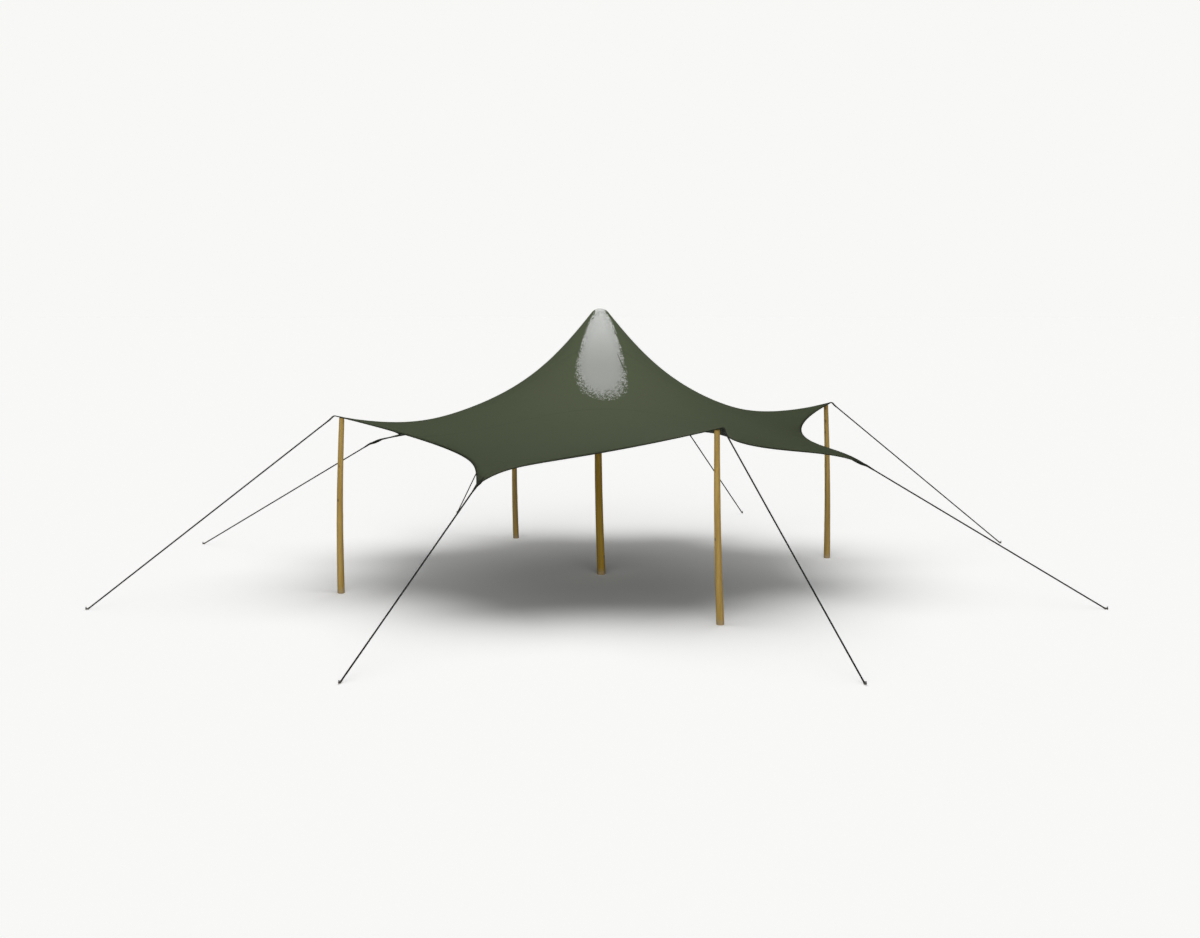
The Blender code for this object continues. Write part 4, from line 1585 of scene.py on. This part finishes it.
class TENT_OT_stage(bpy.types.Operator):
    """Lay the pale floor, set the soft light and stand the camera where the photo was taken"""

    bl_idname = "tent.stage"
    bl_label = "Floor, light and camera"

    def execute(self, context):
        settings = context.scene.tent_stage
        self.make_floor(settings)
        self.make_sky(context.scene, settings)
        self.make_lamps(settings)
        self.make_camera(context.scene)
        context.scene.view_settings.view_transform = "Standard"
        return {"FINISHED"}

    def make_floor(self, settings):
        """A wide matt disc, seen only from above, that glows by what it loses away from the lamp."""
        bm = bmesh.new()
        bmesh.ops.create_circle(bm, cap_ends=True, segments=FLOOR_SIDES, radius=FLOOR_RADIUS)
        mesh = bpy.data.meshes.new("floor")
        bm.to_mesh(mesh)
        bm.free()
        material, tree, shader = new_material("Pale matt floor", 1.0, specular=0.0)
        feed(shader.inputs["Base Color"], settings.floor_colour)
        feed(shader.inputs["Emission Color"], settings.floor_colour)
        glow = lamp_falloff(tree, settings) * (settings.overhead_strength / math.pi)
        feed(shader.inputs["Emission Strength"], glow)
        clear = tree.nodes.new("ShaderNodeBsdfTransparent")
        back = tree.nodes.new("ShaderNodeNewGeometry").outputs["Backfacing"]
        inputs = {0: back, 1: shader.outputs[0], 2: clear.outputs[0]}
        one_sided = add_node(tree, "ShaderNodeMixShader", inputs)
        feed(tree.nodes["Material Output"].inputs["Surface"], one_sided.outputs[0])
        mesh.materials.append(material)
        link_object("floor", mesh)

    def make_sky(self, scene, settings):
        """Even white light from all round, and the backdrop's own tone where it is seen."""
        world = bpy.data.worlds.new("Studio")
        world.use_nodes = True
        tree = world.node_tree
        tree.nodes.clear()
        mixed = tree.nodes.new("ShaderNodeMixShader")
        camera_ray = tree.nodes.new("ShaderNodeLightPath").outputs["Is Camera Ray"]
        feed(mixed.inputs[0], camera_ray)
        shown = ((WHITE, settings.sky_strength), (settings.backdrop_colour, 1.0))
        for place, (colour, strength) in enumerate(shown, start=1):
            light = add_node(tree, "ShaderNodeBackground", {"Color": colour, "Strength": strength})
            feed(mixed.inputs[place], light.outputs[0])
        output = tree.nodes.new("ShaderNodeOutputWorld")
        feed(output.inputs["Surface"], mixed.outputs[0])
        scene.world = world

    def make_lamps(self, settings):
        """A wide round lamp hung over the tent and a low soft light in front."""
        overhead = bpy.data.lights.new("overhead", "AREA")
        overhead.shape = "DISK"
        overhead.size = 2 * settings.overhead_radius
        reach = settings.overhead_radius**2 + settings.overhead_height**2
        overhead.energy = settings.overhead_strength * math.pi * reach
        front = bpy.data.lights.new("front", "SUN")
        front.energy = settings.front_strength
        front.angle = settings.front_spread
        above = (0.0, -settings.overhead_shift, settings.overhead_height)
        low = math.pi / 2 - settings.front_height
        for lamp, place, tilt in ((overhead, above, 0.0), (front, (0.0, 0.0, 0.0), low)):
            holder = link_object(lamp.name, lamp)
            holder.location = place
            holder.rotation_euler = (tilt, 0.0, 0.0)
            holder.visible_camera = False

    def make_camera(self, scene):
        """The photo's viewpoint."""
        camera = bpy.data.cameras.new("photo_camera")
        camera.lens = CAMERA_LENS
        camera.sensor_width = CAMERA_SENSOR
        camera.clip_end = CAMERA_REACH
        holder = link_object("photo_camera", camera)
        holder.location = CAMERA_PLACE
        holder.rotation_euler = (CAMERA_TILT, 0.0, CAMERA_TURN)
        scene.camera = holder


class TENT_OT_poles(bpy.types.Operator):
    """Shape the five timber poles and the turned head under the peak"""

    bl_idname = "tent.poles"
    bl_label = "Timber poles and head"

    def execute(self, context):
        settings = context.scene.tent_timber
        shaders, trees, _ = shared_groups()
        shared = (settings.knot_colour, context.scene.tent_rope.dust_colour, shaders)
        # The centre pole gets a shaded copy of the timber, with painted shade.
        light, dark = settings.centre_colour, settings.centre_dark_colour
        timber = make_timber_material("Shaded centre pole timber", light, dark, *shared)
        make_pole("centre_pole", 0.0, POLE_PAINTED_LIGHT["centre_pole"], trees, timber, settings)
        light, dark = settings.timber_colour, settings.timber_dark_colour
        timber = make_timber_material("Honey pole timber", light, dark, *shared)
        for seed, tip in enumerate(HIGH_TIPS, start=1):
            make_pole("side_pole_" + tip, 7.0 * seed, POLE_PAINTED_LIGHT[tip], trees, timber, settings)
        self.make_head(settings)
        return {"FINISHED"}

    def make_head(self, settings):
        """The domed head, turned on a lathe with a small bead under its skirt."""
        heights, centres, radii = level_rings("centre_pole_head")
        top = node_points("centre_pole_head")[:, 2].max()
        widest = radii.max()
        dome = DOME_RADIUS - (PEAK_HEIGHT - top)
        edge = math.asin(widest / dome)
        angles = np.linspace(0, edge, HEAD_RINGS)
        profile = [(dome * math.sin(a), top - dome * (1 - math.cos(a))) for a in angles]
        rim = profile[-1][1]
        skirt = rim - heights[0]
        profile += [(widest * width, rim - skirt * down) for width, down in HEAD_SKIRT]
        profile.append((0.0, heights[0]))
        mesh = turned_mesh("head", profile, HEAD_SIDES, make_head_material(settings))
        mesh.transform(Matrix.Translation((*centres[0], 0)))
        finish_piece("turned_pole_head", mesh, "head_timber", "centre_pole_head")


class TENT_OT_canopy(bpy.types.Operator):
    """Stretch the sheet of cloth from the peak to its eight tips"""

    bl_idname = "tent.canopy"
    bl_label = "Canopy"

    def execute(self, context):
        settings = context.scene.tent_cloth
        shaders, _, net = shared_groups()
        shell, area, runs = make_canopy_mesh(canopy_grid(net), settings.thickness)
        shell.materials.append(make_cloth_material(settings, shaders))
        finish_piece("stretched_canopy", shell, "canopy_cloth", "canopy")
        lengths = [runs[spoke] + runs[spoke + SPOKES // 2] for spoke in (0, SPOKES_PER_SCALLOP)]
        context.scene["canopy_flat"] = [float(value) for value in (*lengths, area)]
        return {"FINISHED"}


class TENT_OT_hems(bpy.types.Operator):
    """Sew a corded hem along each scalloped edge"""

    bl_idname = "tent.hems"
    bl_label = "Corded hems"

    def execute(self, context):
        settings = context.scene.tent_cloth
        shaders, trees, net = shared_groups()
        sleeve = make_hem_material(settings, shaders)
        thread = make_thread_material(settings, shaders)
        for tip, name in enumerate(TIPS):
            values = {"Radius": settings.hem_radius, "Sleeve": sleeve}
            cord = run_nodes(trees["hem"], edge_chain(net, tip), values)
            values = {
                "Pitch": settings.stitch_pitch,
                "Length": settings.stitch_length,
                "Thickness": settings.thread_thickness,
                "Inset": settings.stitch_inset,
                "Lift": settings.thickness / 2 + settings.thread_thickness * STITCH_RISE,
                "Thread": thread,
            }
            rows = run_nodes(trees["stitches"], edge_chain(net, tip), values)
            finish_piece("sewn_hem_" + name, join_meshes("hem", [cord, rows]), "hem_cord", "hem_" + name)
        return {"FINISHED"}


class TENT_OT_tabs(bpy.types.Operator):
    """Fold a webbing tab over each tip, round the end of its rope"""

    bl_idname = "tent.tabs"
    bl_label = "Webbing tabs"

    def execute(self, context):
        settings = context.scene.tent_cloth
        shaders, trees, net = shared_groups()
        webbing = make_webbing_material(settings, shaders)
        thread = bpy.data.materials["Bonded thread"]
        for tip, name in enumerate(TIPS):
            node = "tip_tab_" + name
            mesh, stations, level, along = make_tab_mesh(node, tab_line(net, tip, node), tip)
            mesh.materials.append(webbing)
            rows = tab_stitch_mesh(trees, stations, level, along, tip, settings, thread)
            finish_piece("webbing_tab_" + name, join_meshes("tab", [mesh, *rows]), "tab_webbing", node)
        return {"FINISHED"}


class TENT_OT_ropes(bpy.types.Operator):
    """Lay the eight guy ropes and lash each to its peg"""

    bl_idname = "tent.ropes"
    bl_label = "Guy ropes and pegs"

    def execute(self, context):
        settings = context.scene.tent_rope
        shaders, trees, _ = shared_groups()
        finish = make_rope_material(settings, shaders)
        steel = make_steel_material(settings, shaders)
        for name in TIPS:
            node = "guy_rope_" + name
            values = {
                "Radius": frame_rope_radius() * CROWN_SHARE,
                "Lay": settings.lay,
                "Strands": settings.strands,
                "Whipping": settings.whipping,
                "Finish": finish,
            }
            mesh = run_nodes(trees["rope"], chain_mesh(node, rope_line(name)), values)
            finish_piece("laid_" + node, mesh, "guy_rope", node)
            make_peg(name, steel)
            values = {"Cord": finish}
            turns = run_nodes(trees["lashing"], chain_mesh("turns", lashing_points(name)), values)
            finish_piece("peg_lashing_" + name, turns, "guy_rope")
        return {"FINISHED"}


class VIEW3D_PT_stretch_tent(bpy.types.Panel):
    """The steps that make the tent, with the sizes and colours they use"""

    bl_label = "Stretch Tent"
    bl_space_type = "VIEW_3D"
    bl_region_type = "UI"
    bl_category = "Stretch Tent"

    def draw(self, context):
        for step in OPERATORS:
            self.layout.operator(step.bl_idname)
        for label in SETTINGS:
            group = getattr(context.scene, label)
            box = self.layout.box()
            for key in group.bl_rna.properties.keys():
                if key not in ("rna_type", "name"):
                    box.prop(group, key)


OPERATORS = (TENT_OT_stage, TENT_OT_poles, TENT_OT_canopy, TENT_OT_hems, TENT_OT_tabs, TENT_OT_ropes)
SETTINGS = {
    "tent_cloth": TentClothSettings,
    "tent_timber": TentTimberSettings,
    "tent_rope": TentRopeSettings,
    "tent_stage": TentStageSettings,
}


def register():
    """Register the settings, the operators and the panel."""
    for label, group in SETTINGS.items():
        bpy.utils.register_class(group)
        setattr(bpy.types.Scene, label, PointerProperty(type=group))
    for step in (*OPERATORS, VIEW3D_PT_stretch_tent):
        bpy.utils.register_class(step)


def unregister():
    """Take the classes and settings away again."""
    for step in (VIEW3D_PT_stretch_tent, *reversed(OPERATORS)):
        bpy.utils.unregister_class(step)
    for label, group in SETTINGS.items():
        delattr(bpy.types.Scene, label)
        bpy.utils.unregister_class(group)


def main():
    """Register the add-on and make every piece."""
    register()
    bpy.ops.tent.stage()
    bpy.ops.tent.poles()
    bpy.ops.tent.canopy()
    bpy.ops.tent.hems()
    bpy.ops.tent.tabs()
    bpy.ops.tent.ropes()


if __name__ == "__main__":
    main()
